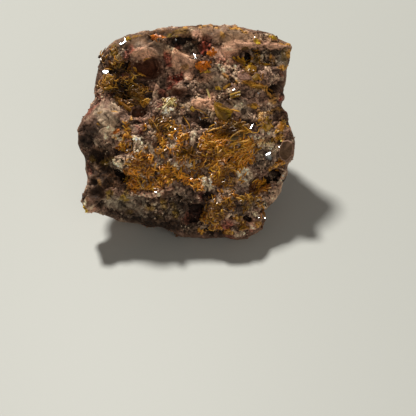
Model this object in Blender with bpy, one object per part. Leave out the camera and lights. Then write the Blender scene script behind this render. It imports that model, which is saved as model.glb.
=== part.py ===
"""Wulfenite on matrix: a broken lump of rock, about 47 mm wide, with crusts of thin wulfenite plates.

The main face leans back. Places on it are given in millimetres in the face's own frame: across (to the
right), up (along the slope) and out (away from the rock). The broken back and the flat foot are cut in the
part's frame, +Z up.
"""

import math
import random

import bmesh
import bpy
from mathutils import Matrix, Vector, noise
from mathutils.bvhtree import BVHTree

MM = 0.001

# The face's own frame
FACE_LEAN = math.radians(41.7)  # from upright
FACE_CENTRE = Vector((-3.0, -5.0, 17.0))  # mm above the surface that the lump stands on
ACROSS = Vector((1.0, 0.0, 0.0))
UP = Vector((0.0, math.sin(FACE_LEAN), math.cos(FACE_LEAN)))
OUT = Vector((0.0, -math.cos(FACE_LEAN), math.sin(FACE_LEAN)))

# The lump, in mm
FACE_HEIGHT = 8.5  # how far the middle of the face stands out from its centre
BACK_DEPTH = 25.0
FACE_SQUARENESS = 2.7  # 2 is an ellipsoid, and more is flatter with a tighter edge
BACK_SQUARENESS = 2.3
RIM_OUT = 3.0  # how far out the rim lies, on average
RIM_TURN = 1.4  # how much further out it lies at the top than halfway
RIM_BAND = 0.2  # share of the way in from the rim over which forms and grain reach their full height
RIM_FORMS = 0.35  # share of their height that forms keep at the rim
RIM_GRAIN = 0.2  # share of its height that the grain keeps at the rim
FORM_REACH = 6.0  # squared distance in half widths past which a form is too slight to count
FINE_LEVEL = 6  # of the icosphere that is shaped
KEPT_SHARE = 0.265  # of its triangles

# The rim of the lump, across and up, anticlockwise from the right edge
RIM = (
    # right edge: two notches below a ledge with a sharp corner
    (21.3, 0.3), (20.3, 2.2), (21.5, 3.8), (20.7, 5.0), (22.1, 6.3), (22.5, 9.5), (23.8, 13.0), (23.7, 14.5),
    # top, an uneven ridge
    (21.4, 15.6), (20.2, 17.0), (17.5, 17.9), (15.4, 18.3), (13.3, 19.3), (10.9, 19.7), (6.5, 19.8),
    (2.4, 20.5), (-1.3, 20.8), (-5.5, 20.5), (-9.2, 20.2), (-12.3, 19.4), (-14.4, 17.5),
    # left edge: drawn in above the bulge, and again above the knob
    (-16.2, 14.3), (-17.3, 11.1), (-17.9, 9.4), (-17.4, 7.9), (-18.3, 6.9), (-20.3, 4.3), (-21.9, 2.3),
    (-22.6, -1.0), (-21.5, -3.7), (-21.4, -7.5), (-22.1, -11.1),
    # the knob
    (-23.1, -12.0), (-23.5, -12.9), (-23.1, -13.8), (-21.3, -15.0),
    # the underside, hanging over on the left
    (-18.0, -16.4), (-16.1, -17.9), (-11.3, -18.9), (-9.6, -19.8), (-7.8, -19.9), (-5.6, -20.9),
    (-4.0, -22.5), (2.2, -23.6), (5.7, -23.9), (7.9, -24.8), (9.9, -24.6), (13.4, -23.0), (14.6, -20.8),
    (13.5, -19.4),
    # the lower right edge, up to the brown plate
    (15.9, -18.1), (18.1, -16.0), (19.1, -13.5), (20.3, -11.3), (20.0, -10.2), (21.7, -8.8), (22.4, -5.9),
    (22.0, -3.7), (21.4, -2.4),
)

# What stands out from the face (height above 0) or is sunk in it: across, up, half width, half height, turn
# in degrees, height
FORMS = (
    (-6.2, 15.7, 3.0, 1.7, 5, 1.5),  # rounded pink lump near the top
    (-5.8, 12.6, 2.2, 1.5, 10, -3.0),  # hollow under it
    (0.5, 9.0, 6.0, 2.6, 0, -1.2),  # shaded slope
    (3.4, 15.4, 4.2, 1.6, -12, -1.0),  # dark druse near the top
    (-12.3, 11.0, 4.0, 4.4, 0, -1.2),  # bed of the tangle
    (-11.0, 7.0, 1.6, 1.1, -20, -2.2),  # dark gap under the tangle
    (-8.4, 3.9, 1.4, 1.4, 0, -2.4),  # dark pit
    (-16.3, 2.3, 4.2, 3.6, 20, 2.2),  # left bulge
    (-19.2, -3.0, 2.6, 2.6, 0, -1.6),  # dark hollow under the bulge
    (-14.2, -8.4, 2.6, 1.1, -35, -3.4),  # black hole at the lower left
    (-9.8, -2.4, 2.4, 1.8, 0, 0.9),  # pale druse
    (-13.6, -5.2, 2.0, 1.2, 0, 0.8),  # pale druse above the black hole
    (-1.5, -6.0, 11.0, 6.5, 0, 1.0),  # the middle of the face swells
    (9.5, -5.0, 6.5, 4.5, 10, 0.8),  # ridge of the densest plates
    (15.7, -7.7, 2.9, 2.6, 0, -1.5),  # glassy grey hollow
    (20.3, -7.2, 1.9, 2.4, 10, 1.6),  # flat brown plate
    (16.4, -12.6, 3.2, 0.95, 32, -4.5),  # deep slot
    (12.8, -13.4, 2.2, 2.6, 30, -1.8),  # brown hollow at the slot's inner end
    (17.2, -15.2, 2.6, 1.5, 35, 1.0),  # lip below the slot
    (20.2, 5.4, 2.6, 0.8, 22, -3.4),  # black crack above the notches
    (12.9, 8.9, 1.7, 1.5, -20, 1.0),  # smooth fragment with three corners
    (14.3, 12.3, 1.0, 1.0, 0, -1.8),  # black hole under the ledge
    (11.0, 5.2, 2.4, 1.4, 20, 0.8),  # grain above the olive crystal
    (5.0, 3.2, 3.0, 1.5, -10, 0.8),  # shoulder left of the olive crystal
    (8.0, -17.8, 5.6, 4.2, 0, 2.2),  # lobe at the lower right
    (0.2, -18.4, 1.9, 3.4, -8, -2.8),  # deep shade left of the lobe
    (10.2, -20.4, 1.3, 0.9, -10, -2.0),  # angular hole in the lobe
    (4.4, -22.9, 2.4, 0.9, 8, -2.0),  # arch in the lobe's foot
    (-21.9, -13.0, 1.4, 1.3, 0, 1.2),  # knob
    (-19.6, -11.2, 1.4, 1.4, 0, -1.0),  # its neck
)

# Ledges: across of the left end and of the right end, up at each end, reach below the edge, step in
LEDGES = (
    (8.0, 26.0, 14.0, 13.2, 4.4, 4.2),  # the ledge with the sharp corner
    (-18.5, -1.0, -13.2, -13.6, 6.0, 3.0),  # under the curved rim at the lower left
    (-14.0, -4.0, 14.4, 13.6, 2.6, 1.6),  # under the pink lump
    (-6.0, 6.5, 7.4, 6.6, 2.6, 1.4),  # under the shaded slope
    (3.0, 16.5, 5.9, 5.2, 1.8, 0.9),  # under the grain above the olive crystal
    (-21.0, -12.0, -3.4, -2.6, 2.6, 1.6),  # under the left bulge
    (11.5, 23.0, -9.6, -8.4, 2.0, 1.4),  # under the brown plate and the glassy hollow
)
LEDGE_EDGE = 0.7  # mm over which a ledge steps in
LEDGE_LEFT_END = 5.0  # a ledge rises over one part in this many of its length at the left
LEDGE_RIGHT_END = 12.0  # and at the right

# Grain of the broken surface: size of the rounded lumps and how far they stand out, mm
LUMPS = ((7.0, 0.9), (2.8, 0.6), (1.4, 0.35))
# Size of the flat chips between which it broke, mm, and how steeply they tilt
CHIPS = ((5.5, 0.40), (2.6, 0.42))
CHIP_SPREAD = 5.7  # how fast the tilt changes from one chip to the next
CHIP_AXES = (0.0, 31.0, 57.0)  # where the three parts of a tilt are taken, far apart

# Planes on which the hidden back broke: its normal, and its distance from the middle of the lump, mm
MIDDLE = Vector((-1.5, -3.0, 15.0))
BREAKS = (
    (Vector((0.10, 1.00, 0.12)), 15.5),
    (Vector((-0.80, 0.60, 0.15)), 19.0),
    (Vector((0.78, 0.62, -0.10)), 18.5),
    (Vector((-0.10, 0.66, 0.75)), 17.5),
    (Vector((0.55, 0.45, 0.70)), 20.0),
    (Vector((-0.62, 0.50, 0.60)), 19.5),
    (Vector((-0.72, 0.15, -0.68)), 16.5),
    (Vector((0.74, 0.20, -0.64)), 16.5),
    (Vector((0.05, 0.62, -0.78)), 17.0),
)

BACK_GRAIN = 0.75  # of the face's grain
BACK_BROKEN_BY = 4.0  # the planes cut fully past one part in this many of the depth
BACK_GRAIN_AT_RIM = 0.1
BACK_GRAIN_RISE = 6.0  # per share of the depth

GAP = 0.3  # mm kept between two touching pieces
HAIR = 0.002  # mm, under which two points count as one
CRUST_UNDER = 0.34  # mm from the rock to the underside of a crust
CRUST_THICK = 0.65  # mm
LEAST_FACING = 0.3  # share of a steep place's normal that counts as facing out
CRUST_KEPT_SHARE = 0.42  # of a crust's triangles
ABOVE_FACE = 30.0  # mm from which the surface is looked for

# Plates
PLATES_APART = 1.0  # mm between the middles of two plates, at least
PLATE_TOP = 0.72  # share of a plate's length that its upper edge keeps
PLATE_RAISED = 0.3  # share of its height that its middle stands above the crust
PLATE_LEAN = 0.6  # radians to either side, at most
FOLLOWS_ROCK = 0.45  # how much a plate stands square to the crust under it
FOLLOWS_FACE = 0.9  # and how much square to the whole face
TRIES_PER_PLATE = 60
MOST_SEEDS = 40
LEAST_WHOLE = 0.9  # share of its faces that a sound crust keeps when points a hair apart are merged

# Where the crusts grow: ovals on the face, each across, up, half width, half height
CENTRE_PATCH = (
    (-9.5, 1.4, 3.2, 2.2), (-4.2, 2.2, 4.4, 2.4), (-7.5, -8.0, 5.6, 4.4), (0.0, -4.0, 6.0, 5.4),
    (6.5, -4.4, 5.8, 4.0), (11.0, -3.5, 3.2, 3.6), (5.5, -10.5, 4.6, 3.2),
)
LOWER_RIGHT_PATCH = ((6.0, -16.8, 3.6, 2.0), (10.2, -17.6, 2.8, 2.0), (5.4, -19.8, 3.0, 1.9))
TANGLE_PATCH = ((-12.2, 14.6, 2.1, 2.4), (-12.6, 11.2, 2.8, 2.8), (-9.8, 9.2, 2.6, 1.9))
CLUSTER_PATCH = ((15.4, 10.0, 2.7, 1.9), (18.2, 9.4, 2.2, 1.5))
RIGHT_EDGE_PATCH = ((17.6, -2.0, 1.9, 1.5), (18.7, -1.6, 1.2, 1.3))
SLOT_PATCH = ((13.4, -15.6, 1.8, 0.9), (15.4, -15.0, 1.6, 0.9))

# Plates from least to most, each length, height, thickness, mm
LONG_PLATES = ((1.5, 1.6, 0.32), (3.2, 2.6, 0.46))
SHORT_PLATES = ((1.4, 1.4, 0.32), (2.4, 2.2, 0.46))

# The large olive tablet
TABLET_PLACE = (8.7, 2.9)  # across and up
TABLET_SIZE = (3.4, 2.8, 1.1)  # length, height and thickness, mm
TABLET_TURN = -0.5  # radians
TABLET_LEAN = 0.9  # radians
TABLET_BEVEL = 0.28  # of its thickness
TABLET_RAISED = 0.25  # of its height

ROCK_COLOUR = (0.23, 0.14, 0.11, 1.0)
HONEY_COLOUR = (0.42, 0.20, 0.03, 1.0)
OLIVE_COLOUR = (0.26, 0.19, 0.04, 1.0)
YELLOW_COLOUR = (0.46, 0.32, 0.05, 1.0)


def smooth_step(value):
    held = max(0.0, min(1.0, value))
    return held * held * (3.0 - 2.0 * held)


def on_face(across, up, out):
    """A place in the face's frame, as a place in the part's frame, mm."""
    return FACE_CENTRE + ACROSS * across + UP * up + OUT * out


def face_place(point):
    """(across, up) of a place in the part's frame, mm."""
    held = point - FACE_CENTRE
    return held.dot(ACROSS), held.dot(UP)


def rim_reach(angle):
    """How far the rim lies from the face's centre in this direction, mm."""
    way = Vector((math.cos(angle), math.sin(angle)))
    for start, end in zip(RIM, RIM[1:] + RIM[:1]):
        first = Vector(start)
        second = Vector(end)
        along = second - first
        turn = way.cross(along)
        if turn <= 0.0:
            continue
        share = first.cross(way) / turn
        reach = first.cross(along) / turn
        if reach > 0.0 and -1e-9 <= share <= 1.0 + 1e-9:
            return reach
    raise ValueError("the rim doesn't go right round")


def superellipse(direction, squareness):
    """(share of the way to the rim, share of the full height) in a direction from the middle."""
    flat = math.hypot(direction.x, direction.y)
    high = abs(direction.z)
    scale = (flat**squareness + high**squareness) ** (-1.0 / squareness)
    return flat * scale, high * scale


def forms_at(across, up):
    """Height of the lumps and hollows at a place on the face, mm."""
    total = 0.0
    for form_across, form_up, half_width, half_height, turn, height in FORMS:
        cosine = math.cos(math.radians(turn))
        sine = math.sin(math.radians(turn))
        aside = across - form_across
        above = up - form_up
        along = (aside * cosine + above * sine) / half_width
        beside = (above * cosine - aside * sine) / half_height
        distance = along * along + beside * beside
        if distance < FORM_REACH:
            total += height * math.exp(-distance)
    return total


def ledges_at(across, up):
    """How far the face steps in below its ledges, mm."""
    total = 0.0
    for left, right, left_up, right_up, reach, step in LEDGES:
        share = (across - left) / (right - left)
        if not 0.0 < share < 1.0:
            continue
        ends = smooth_step(share * LEDGE_LEFT_END) * smooth_step((1.0 - share) * LEDGE_RIGHT_END)
        below = left_up + share * (right_up - left_up) - up
        if 0.0 < below < reach:
            total -= step * ends * smooth_step(below / LEDGE_EDGE) * (1.0 - below / reach)
    return total


def grain_at(point):
    """Height of the broken surface's grain at a place, mm: rounded lumps, and chips that each tilt."""
    total = sum(height * noise.noise(point / size) for size, height in LUMPS)
    for size, steepness in CHIPS:
        _, middles = noise.voronoi(point / size)
        middle = middles[0]
        tilt = Vector([noise.noise(middle * CHIP_SPREAD + ACROSS * apart) for apart in CHIP_AXES])
        total += steepness * size * (point / size - middle).dot(tilt)
    return total


def broken_back(point, share):
    """The place moved in to the planes on which the back broke, fully where share is 1."""
    for normal, distance in BREAKS:
        way = normal.normalized()
        past = (point - MIDDLE).dot(way) - distance
        if past > 0.0:
            point = point - way * past * share
    return point


def lump_place(direction):
    """Where the lump's surface lies in a direction of the unit sphere, mm."""
    angle = math.atan2(direction.y, direction.x)
    reach = rim_reach(angle)
    rim_out = RIM_OUT + RIM_TURN * math.sin(angle)
    front = direction.z >= 0.0
    share, high = superellipse(direction, FACE_SQUARENESS if front else BACK_SQUARENESS)
    across = reach * share * math.cos(angle)
    up = reach * share * math.sin(angle)
    out = rim_out * share * share
    if not front:
        back = on_face(across, up, out - BACK_DEPTH * high)
        back = broken_back(back, smooth_step(high * BACK_BROKEN_BY))
        outward = (back - MIDDLE).normalized()
        grain = BACK_GRAIN * smooth_step(BACK_GRAIN_AT_RIM + high * BACK_GRAIN_RISE)
        return back + outward * grain * grain_at(back)
    inner = smooth_step((1.0 - share) / RIM_BAND)
    out += FACE_HEIGHT * high
    raised = forms_at(across, up) + ledges_at(across, up)
    out += raised * (RIM_FORMS + (1.0 - RIM_FORMS) * inner)
    place = on_face(across, up, out)
    return place + OUT * grain_at(place) * (RIM_GRAIN + (1.0 - RIM_GRAIN) * inner)


def material(name, colour, roughness):
    made = bpy.data.materials.new(name)
    made.use_nodes = True
    shader = made.node_tree.nodes["Principled BSDF"]
    shader.inputs["Base Color"].default_value = colour
    shader.inputs["Roughness"].default_value = roughness
    shader.inputs["Metallic"].default_value = 0.0
    made.diffuse_color = colour
    return made


def new_object(name, shape, collection, finish=None):
    """An object in the collection with the bmesh's shape."""
    mesh = bpy.data.meshes.new(name)
    shape.to_mesh(mesh)
    shape.free()
    made = bpy.data.objects.new(name, mesh)
    collection.objects.link(made)
    if finish:
        mesh.materials.append(finish)
    return made


def set_modified(target):
    """Gives the object the mesh that its modifiers make, and drops them."""
    bpy.context.view_layer.update()
    graph = bpy.context.evaluated_depsgraph_get()
    made = bpy.data.meshes.new_from_object(target.evaluated_get(graph))
    old = target.data
    target.modifiers.clear()
    target.data = made
    made.name = target.name
    bpy.data.meshes.remove(old)


def add_boolean(target, other, operation):
    modifier = target.modifiers.new(operation.title(), "BOOLEAN")
    modifier.operation = operation
    modifier.solver = "EXACT"
    modifier.use_self = operation == "UNION"
    modifier.object = other


def cut_flat_foot(target):
    """Cuts the lump off at the surface that it stands on, which leaves one flat face."""
    shape = bmesh.new()
    shape.from_mesh(target.data)
    everything = shape.verts[:] + shape.edges[:] + shape.faces[:]
    cut = bmesh.ops.bisect_plane(
        shape, geom=everything, dist=1e-7, plane_co=(0, 0, 0), plane_no=(0, 0, 1), clear_inner=True
    )
    edges = [piece for piece in cut["geom_cut"] if isinstance(piece, bmesh.types.BMEdge)]
    bmesh.ops.edgeloop_fill(shape, edges=edges)
    bmesh.ops.recalc_face_normals(shape, faces=shape.faces[:])
    shape.to_mesh(target.data)
    shape.free()


def make_matrix(collection):
    shape = bmesh.new()
    bmesh.ops.create_icosphere(shape, subdivisions=FINE_LEVEL, radius=1.0)
    for vertex in shape.verts:
        vertex.co = lump_place(vertex.co.normalized()) * MM
    lump = new_object("matrix", shape, collection, material("rock", ROCK_COLOUR, 0.8))
    add_fewer(lump, KEPT_SHARE)
    set_modified(lump)
    cut_flat_foot(lump)
    return lump


def lift_off(shape, distance):
    """Moves the lump's whole face out until it clears where it was by the distance in mm, with no fold, and
    the rest of the lump along its normals."""
    shape.normal_update()
    for vertex, normal in [(vertex, vertex.normal.copy()) for vertex in shape.verts]:
        facing = normal.dot(OUT)
        way = OUT / max(facing, LEAST_FACING) if facing > 0.0 else normal
        vertex.co += way * distance * MM


def grown_copy(target, collection):
    """The lump grown by the gap, as a cutter."""
    shape = bmesh.new()
    shape.from_mesh(target.data)
    bmesh.ops.triangulate(shape, faces=shape.faces[:])
    lift_off(shape, GAP)
    grown = new_object("matrix_grown", shape, collection)
    grown.hide_render = True
    grown.display_type = "WIRE"
    return grown


def in_patch(across, up, patch):
    """Whether a place on the face lies inside one of the patch's ovals."""
    for middle_across, middle_up, half_width, half_height in patch:
        aside = (across - middle_across) / half_width
        above = (up - middle_up) / half_height
        if aside * aside + above * above < 1.0:
            return True
    return False


def crust_shell(lump, patch):
    """The skin of a crust: the rock's faces inside the patch, lifted off it and given a thickness."""
    shape = bmesh.new()
    shape.from_mesh(lump.data)
    bmesh.ops.triangulate(shape, faces=shape.faces[:])
    shape.normal_update()
    outside = []
    for face in shape.faces:
        across, up = face_place(face.calc_center_median() / MM)
        if face.normal.dot(OUT) < LEAST_FACING or not in_patch(across, up, patch):
            outside.append(face)
    lift_off(shape, CRUST_UNDER)
    bmesh.ops.delete(shape, geom=outside, context="FACES")
    keep_one_sheet(shape)
    raised = bmesh.ops.extrude_face_region(shape, geom=shape.faces[:], use_keep_orig=True)
    over = [piece for piece in raised["geom"] if isinstance(piece, bmesh.types.BMVert)]
    bmesh.ops.translate(shape, verts=over, vec=OUT * CRUST_THICK * MM)
    bmesh.ops.recalc_face_normals(shape, faces=shape.faces[:])
    bmesh.ops.triangulate(shape, faces=shape.faces[:])
    return shape


def keep_largest_part(shape):
    """Drops every face that no run of neighbours joins to the largest part."""
    parts = []
    waiting = set(shape.faces)
    while waiting:
        part = set()
        edge_of_part = [waiting.pop()]
        while edge_of_part:
            face = edge_of_part.pop()
            part.add(face)
            for edge in face.edges:
                for other in edge.link_faces:
                    if other in waiting:
                        waiting.remove(other)
                        edge_of_part.append(other)
        parts.append(part)
    largest = max(parts, key=len)
    bmesh.ops.delete(shape, geom=[face for face in shape.faces if face not in largest], context="FACES")


def keep_one_sheet(shape):
    """Drops faces until what is left is one open sheet that nowhere narrows to a single point."""
    keep_largest_part(shape)
    while True:
        pinched = [
            vertex for vertex in shape.verts if sum(edge.is_boundary for edge in vertex.link_edges) > 2
        ]
        if not pinched:
            return
        around = {face for vertex in pinched for face in vertex.link_faces}
        bmesh.ops.delete(shape, geom=list(around), context="FACES")
        keep_largest_part(shape)


def keep_one_body(target):
    """Drops the chips that a cut leaves loose and the pockets that plates close between them."""
    shape = bmesh.new()
    shape.from_mesh(target.data)
    keep_largest_part(shape)
    bmesh.ops.triangulate(shape, faces=shape.faces[:])
    shape.to_mesh(target.data)
    shape.free()


def add_fewer(target, share):
    """Leaves this share of the triangles, and drops the smallest scraps first."""
    fewer = target.modifiers.new("Fewer", "DECIMATE")
    fewer.ratio = share


def plate(length, height, thickness):
    """One tabular crystal, its length along X and its height along Z, with its two upper corners cut off."""
    shape = bmesh.new()
    bmesh.ops.create_cube(shape, size=1.0)
    for vertex in shape.verts:
        inset = PLATE_TOP if vertex.co.z > 0.0 else 1.0
        vertex.co.x *= length * inset
        vertex.co.y *= thickness
        vertex.co.z *= height
    return shape


def add_plate(target, place, normal, turn, lean, size):
    """Adds a plate that stands on the surface at the place, turned about the normal and leaning over."""
    length, height, thickness = size
    stand = normal.to_track_quat("Z", "Y").to_matrix().to_4x4()
    turned = Matrix.Rotation(turn, 4, "Z") @ Matrix.Rotation(lean, 4, "X")
    raised = Matrix.Translation((0, 0, PLATE_RAISED * height * MM))
    where = Matrix.Translation(place) @ stand @ turned @ raised
    shape = plate(length * MM, height * MM, thickness * MM)
    bmesh.ops.transform(shape, matrix=where, verts=shape.verts[:])
    held = bpy.data.meshes.new("plate")
    shape.to_mesh(held)
    shape.free()
    target.from_mesh(held)
    bpy.data.meshes.remove(held)


def is_one_closed_body(target):
    """Whether each edge joins two faces and all faces are connected, once points a hair apart are merged."""
    shape = bmesh.new()
    shape.from_mesh(target.data)
    count = len(shape.faces)
    bmesh.ops.remove_doubles(shape, verts=shape.verts[:], dist=HAIR * MM)
    closed = all(edge.is_manifold for edge in shape.edges)
    whole = len(shape.faces)
    keep_largest_part(shape)
    sound = closed and len(shape.faces) == whole and whole > LEAST_WHOLE * count
    shape.free()
    return sound


def chosen_places(patch, count, tree, chance):
    """Places of the plates, evenly over the patch: (place, the way that a plate stands there)."""
    left = min(oval[0] - oval[2] for oval in patch)
    right = max(oval[0] + oval[2] for oval in patch)
    bottom = min(oval[1] - oval[3] for oval in patch)
    top = max(oval[1] + oval[3] for oval in patch)
    placed = []
    for _ in range(count * TRIES_PER_PLATE):
        across = chance.uniform(left, right)
        up = chance.uniform(bottom, top)
        if len(placed) == count or not in_patch(across, up, patch):
            continue
        hit, normal, _, _ = tree.ray_cast(on_face(across, up, ABOVE_FACE) * MM, -OUT)
        if hit is None or any((hit - other).length < PLATES_APART * MM for other, _ in placed):
            continue
        placed.append((hit, (normal * FOLLOWS_ROCK + OUT * FOLLOWS_FACE).normalized()))
    return placed


def grow_crust(name, lump, cutter, patch, count, sizes, finish, collection, seed):
    """A crust with its plates, joined, with what is nearer to the rock than the gap cut off."""
    chance = random.Random(seed)
    crust = new_object(name, crust_shell(lump, patch), collection, finish)
    tree = BVHTree.FromObject(crust, bpy.context.evaluated_depsgraph_get())
    plates = bmesh.new()
    least, most = sizes
    for place, stand in chosen_places(patch, count, tree, chance):
        size = [low + (high - low) * chance.random() for low, high in zip(least, most)]
        turn = chance.uniform(0.0, math.pi)
        lean = chance.uniform(-PLATE_LEAN, PLATE_LEAN)
        add_plate(plates, place, stand, turn, lean, size)
    joined = new_object(name + "_plates", plates, collection)
    add_boolean(crust, joined, "UNION")
    set_modified(crust)
    bpy.data.objects.remove(joined)
    add_boolean(crust, cutter, "DIFFERENCE")
    set_modified(crust)
    keep_one_body(crust)
    add_fewer(crust, CRUST_KEPT_SHARE)
    set_modified(crust)
    return crust


def make_crust(name, lump, cutter, patch, count, sizes, finish, collection):
    """The first way of scattering the plates in which no two of them only just touch."""
    for seed in range(MOST_SEEDS):
        crust = grow_crust(name, lump, cutter, patch, count, sizes, finish, collection, seed)
        if is_one_closed_body(crust):
            return crust
        bpy.data.objects.remove(crust)
    raise ValueError(name + " never came out as one body")


def make_tablet(name, lump, cutter, finish, collection):
    """One large crystal that stands on the rock: a thick tablet with bevelled edges."""
    across, up = TABLET_PLACE
    tree = BVHTree.FromObject(lump, bpy.context.evaluated_depsgraph_get())
    hit, normal, _, _ = tree.ray_cast(on_face(across, up, ABOVE_FACE) * MM, -OUT)
    length, height, thickness = TABLET_SIZE
    shape = bmesh.new()
    bmesh.ops.create_cube(shape, size=1.0)
    bmesh.ops.scale(shape, vec=(length * MM, thickness * MM, height * MM), verts=shape.verts[:])
    offset = TABLET_BEVEL * thickness * MM
    bmesh.ops.bevel(shape, geom=shape.edges[:], offset=offset, segments=1, affect="EDGES")
    stand = OUT.to_track_quat("Z", "Y").to_matrix().to_4x4()
    turned = Matrix.Rotation(TABLET_TURN, 4, "Z") @ Matrix.Rotation(TABLET_LEAN, 4, "X")
    raised = Matrix.Translation((0, 0, TABLET_RAISED * height * MM))
    where = Matrix.Translation(hit) @ stand @ turned @ raised
    bmesh.ops.transform(shape, matrix=where, verts=shape.verts[:])
    crystal = new_object(name, shape, collection, finish)
    add_boolean(crystal, cutter, "DIFFERENCE")
    set_modified(crystal)
    keep_one_body(crystal)
    return crystal


def stand_on_origin(collection):
    """Moves every piece so that the origin is under the middle of the whole."""
    places = [vertex.co for piece in collection.objects for vertex in piece.data.vertices]
    lowest = Vector([min(place[axis] for place in places) for axis in range(3)])
    highest = Vector([max(place[axis] for place in places) for axis in range(3)])
    middle = (lowest + highest) / 2.0
    shift = Matrix.Translation((-middle.x, -middle.y, 0.0))
    for piece in collection.objects:
        piece.data.transform(shift)


def make_wulfenite(lump, cutter, collection):
    honey = material("wulfenite_honey", HONEY_COLOUR, 0.3)
    olive = material("wulfenite_olive", OLIVE_COLOUR, 0.3)
    yellow = material("wulfenite_yellow", YELLOW_COLOUR, 0.3)
    crusts = (
        ("wulfenite_crust_centre", CENTRE_PATCH, 92, LONG_PLATES, honey),
        ("wulfenite_crust_lower_right", LOWER_RIGHT_PATCH, 24, LONG_PLATES, honey),
        ("wulfenite_tangle_upper_left", TANGLE_PATCH, 26, SHORT_PLATES, olive),
        ("wulfenite_cluster_upper_right", CLUSTER_PATCH, 14, SHORT_PLATES, yellow),
        ("wulfenite_patch_right_edge", RIGHT_EDGE_PATCH, 7, SHORT_PLATES, yellow),
        ("wulfenite_blades_by_slot", SLOT_PATCH, 6, SHORT_PLATES, honey),
    )
    for name, patch, count, sizes, finish in crusts:
        make_crust(name, lump, cutter, patch, count, sizes, finish, collection)
    make_tablet("wulfenite_crystal_olive", lump, cutter, olive, collection)


def main():
    for old in list(bpy.data.objects):
        bpy.data.objects.remove(old)
    scene = bpy.context.scene
    parts = bpy.data.collections.new("wulfenite_on_matrix")
    cutters = bpy.data.collections.new("cutters")
    cutters.hide_render = True
    scene.collection.children.link(parts)
    scene.collection.children.link(cutters)
    lump = make_matrix(parts)
    cutter = grown_copy(lump, cutters)
    make_wulfenite(lump, cutter, parts)
    stand_on_origin(parts)


main()
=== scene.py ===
import itertools
import math

import bmesh
import bpy
import numpy as np
from mathutils import Matrix, Vector
from mathutils.bvhtree import BVHTree


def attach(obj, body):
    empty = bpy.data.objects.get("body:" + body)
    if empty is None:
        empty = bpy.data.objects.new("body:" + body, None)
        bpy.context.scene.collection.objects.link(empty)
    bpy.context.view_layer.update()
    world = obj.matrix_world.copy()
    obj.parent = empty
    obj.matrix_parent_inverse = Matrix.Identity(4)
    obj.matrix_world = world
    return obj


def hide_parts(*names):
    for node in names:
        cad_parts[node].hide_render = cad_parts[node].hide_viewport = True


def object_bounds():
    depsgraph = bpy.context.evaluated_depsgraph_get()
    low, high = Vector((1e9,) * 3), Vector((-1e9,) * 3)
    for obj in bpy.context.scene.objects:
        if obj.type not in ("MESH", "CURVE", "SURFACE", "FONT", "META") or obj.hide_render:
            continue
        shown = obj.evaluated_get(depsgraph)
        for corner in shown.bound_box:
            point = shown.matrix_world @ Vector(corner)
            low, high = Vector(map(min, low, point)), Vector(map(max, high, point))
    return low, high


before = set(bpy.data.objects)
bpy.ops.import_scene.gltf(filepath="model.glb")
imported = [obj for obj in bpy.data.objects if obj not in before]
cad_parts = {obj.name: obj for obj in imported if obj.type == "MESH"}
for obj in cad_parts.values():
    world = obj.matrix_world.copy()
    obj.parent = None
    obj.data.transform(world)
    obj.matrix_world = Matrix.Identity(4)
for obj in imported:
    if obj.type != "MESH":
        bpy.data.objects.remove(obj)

CAD_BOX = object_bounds()
MM = 0.001

# Wulfenite on matrix: what the CAD solids look like. Lengths are in mm unless a comment says otherwise.

# ---------------------------------------------------------------- camera
FRAME_SIDE = 416.0  # px
FOCAL = 808.2  # px
SENSOR = 36.0  # mm
CAMERA_PLACE = np.array((2.562, -137.799, 117.718))  # mm
VIEW_RIGHT = np.array((0.9928, -0.0796, -0.0894))
VIEW_DOWN = np.array((-0.1197, -0.6601, -0.7416))
VIEW_AWAY = np.array((0.0, 0.7470, -0.6648))
TO_KEY = np.array((-0.17, 0.47, 0.87))  # towards the main light

# The face's own directions, as in the CAD
FACE_LEAN = math.radians(41.7)
ACROSS = np.array((1.0, 0.0, 0.0))
UP = np.array((0.0, math.sin(FACE_LEAN), math.cos(FACE_LEAN)))
OUT = np.array((0.0, -math.cos(FACE_LEAN), math.sin(FACE_LEAN)))

# ---------------------------------------------------------------- rock mesh, mm
GRID = 0.41  # of the remeshed solid
SOFTENED = 4  # passes that round the solid's facets
BACK_KEPT_SHARE = 0.34  # of the triangles on the back
FACE_FROM = 0.05  # how far a place must look out to count as the face
FACE_DEEPEST = -6.0  # mm, how far back the face goes


# ---------------------------------------------------------------- where things are on the face
def ovals(*rows):
    """Ovals for oval_mask: x, y, half width, half height, turn and strength. Here the turn may be left out, and a
    bare number is the strength of the rows after it."""
    filled, strength = [], 1.0
    for row in rows:
        if isinstance(row, tuple):
            filled.append((*row[:4], *(row[4:] or (0,)), strength))
        else:
            strength = row
    return tuple(filled)


# Places are px of the 416 x 416 frame, and turns are degrees, clockwise
# Where the rock is smooth
SMOOTH = ovals(
    (244, 75.5, 6, 5, 30), (286, 151, 7, 10), 0.95, (140, 39, 24, 6, -14), (234, 34, 13, 5, 8), (230, 36, 20, 8, 5),
    0.9, (272, 44, 18, 3, 8), (188, 74, 5, 5), (97, 192, 9, 8), (93, 205, 4, 4), 0.85, (182, 61, 12, 10, 20),
    (105, 118, 14, 18, 30), (92, 130, 10, 10), 0.8, (156, 46, 12, 6, 10), (244, 43, 20, 5, 5), (178, 92, 8, 5),
    (225, 110, 8, 8), (256, 186, 6, 9, 20), (226, 52, 13, 7), 0.75, (180, 32, 25, 5, -3), 0.7, (205, 33, 12, 5, 5),
    0.6, (140, 53, 10, 6, 10), (202, 105, 12, 7, 15), (178, 121, 5, 6), (85, 202, 4, 7), (284, 60, 6, 6),
    (125, 204, 24, 9, 8), (150, 50, 18, 10, 10), 0.5, (147, 70, 13, 8, 8), (214, 77, 10, 5), (238, 135, 8, 5, -15),
    (194, 137, 5, 8), (228, 105, 16, 8), (215, 85, 14, 8), 0.4, (250, 108, 14, 8), (246, 178, 9, 8, 20), 0.3,
    (102, 168, 16, 26),
)
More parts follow.
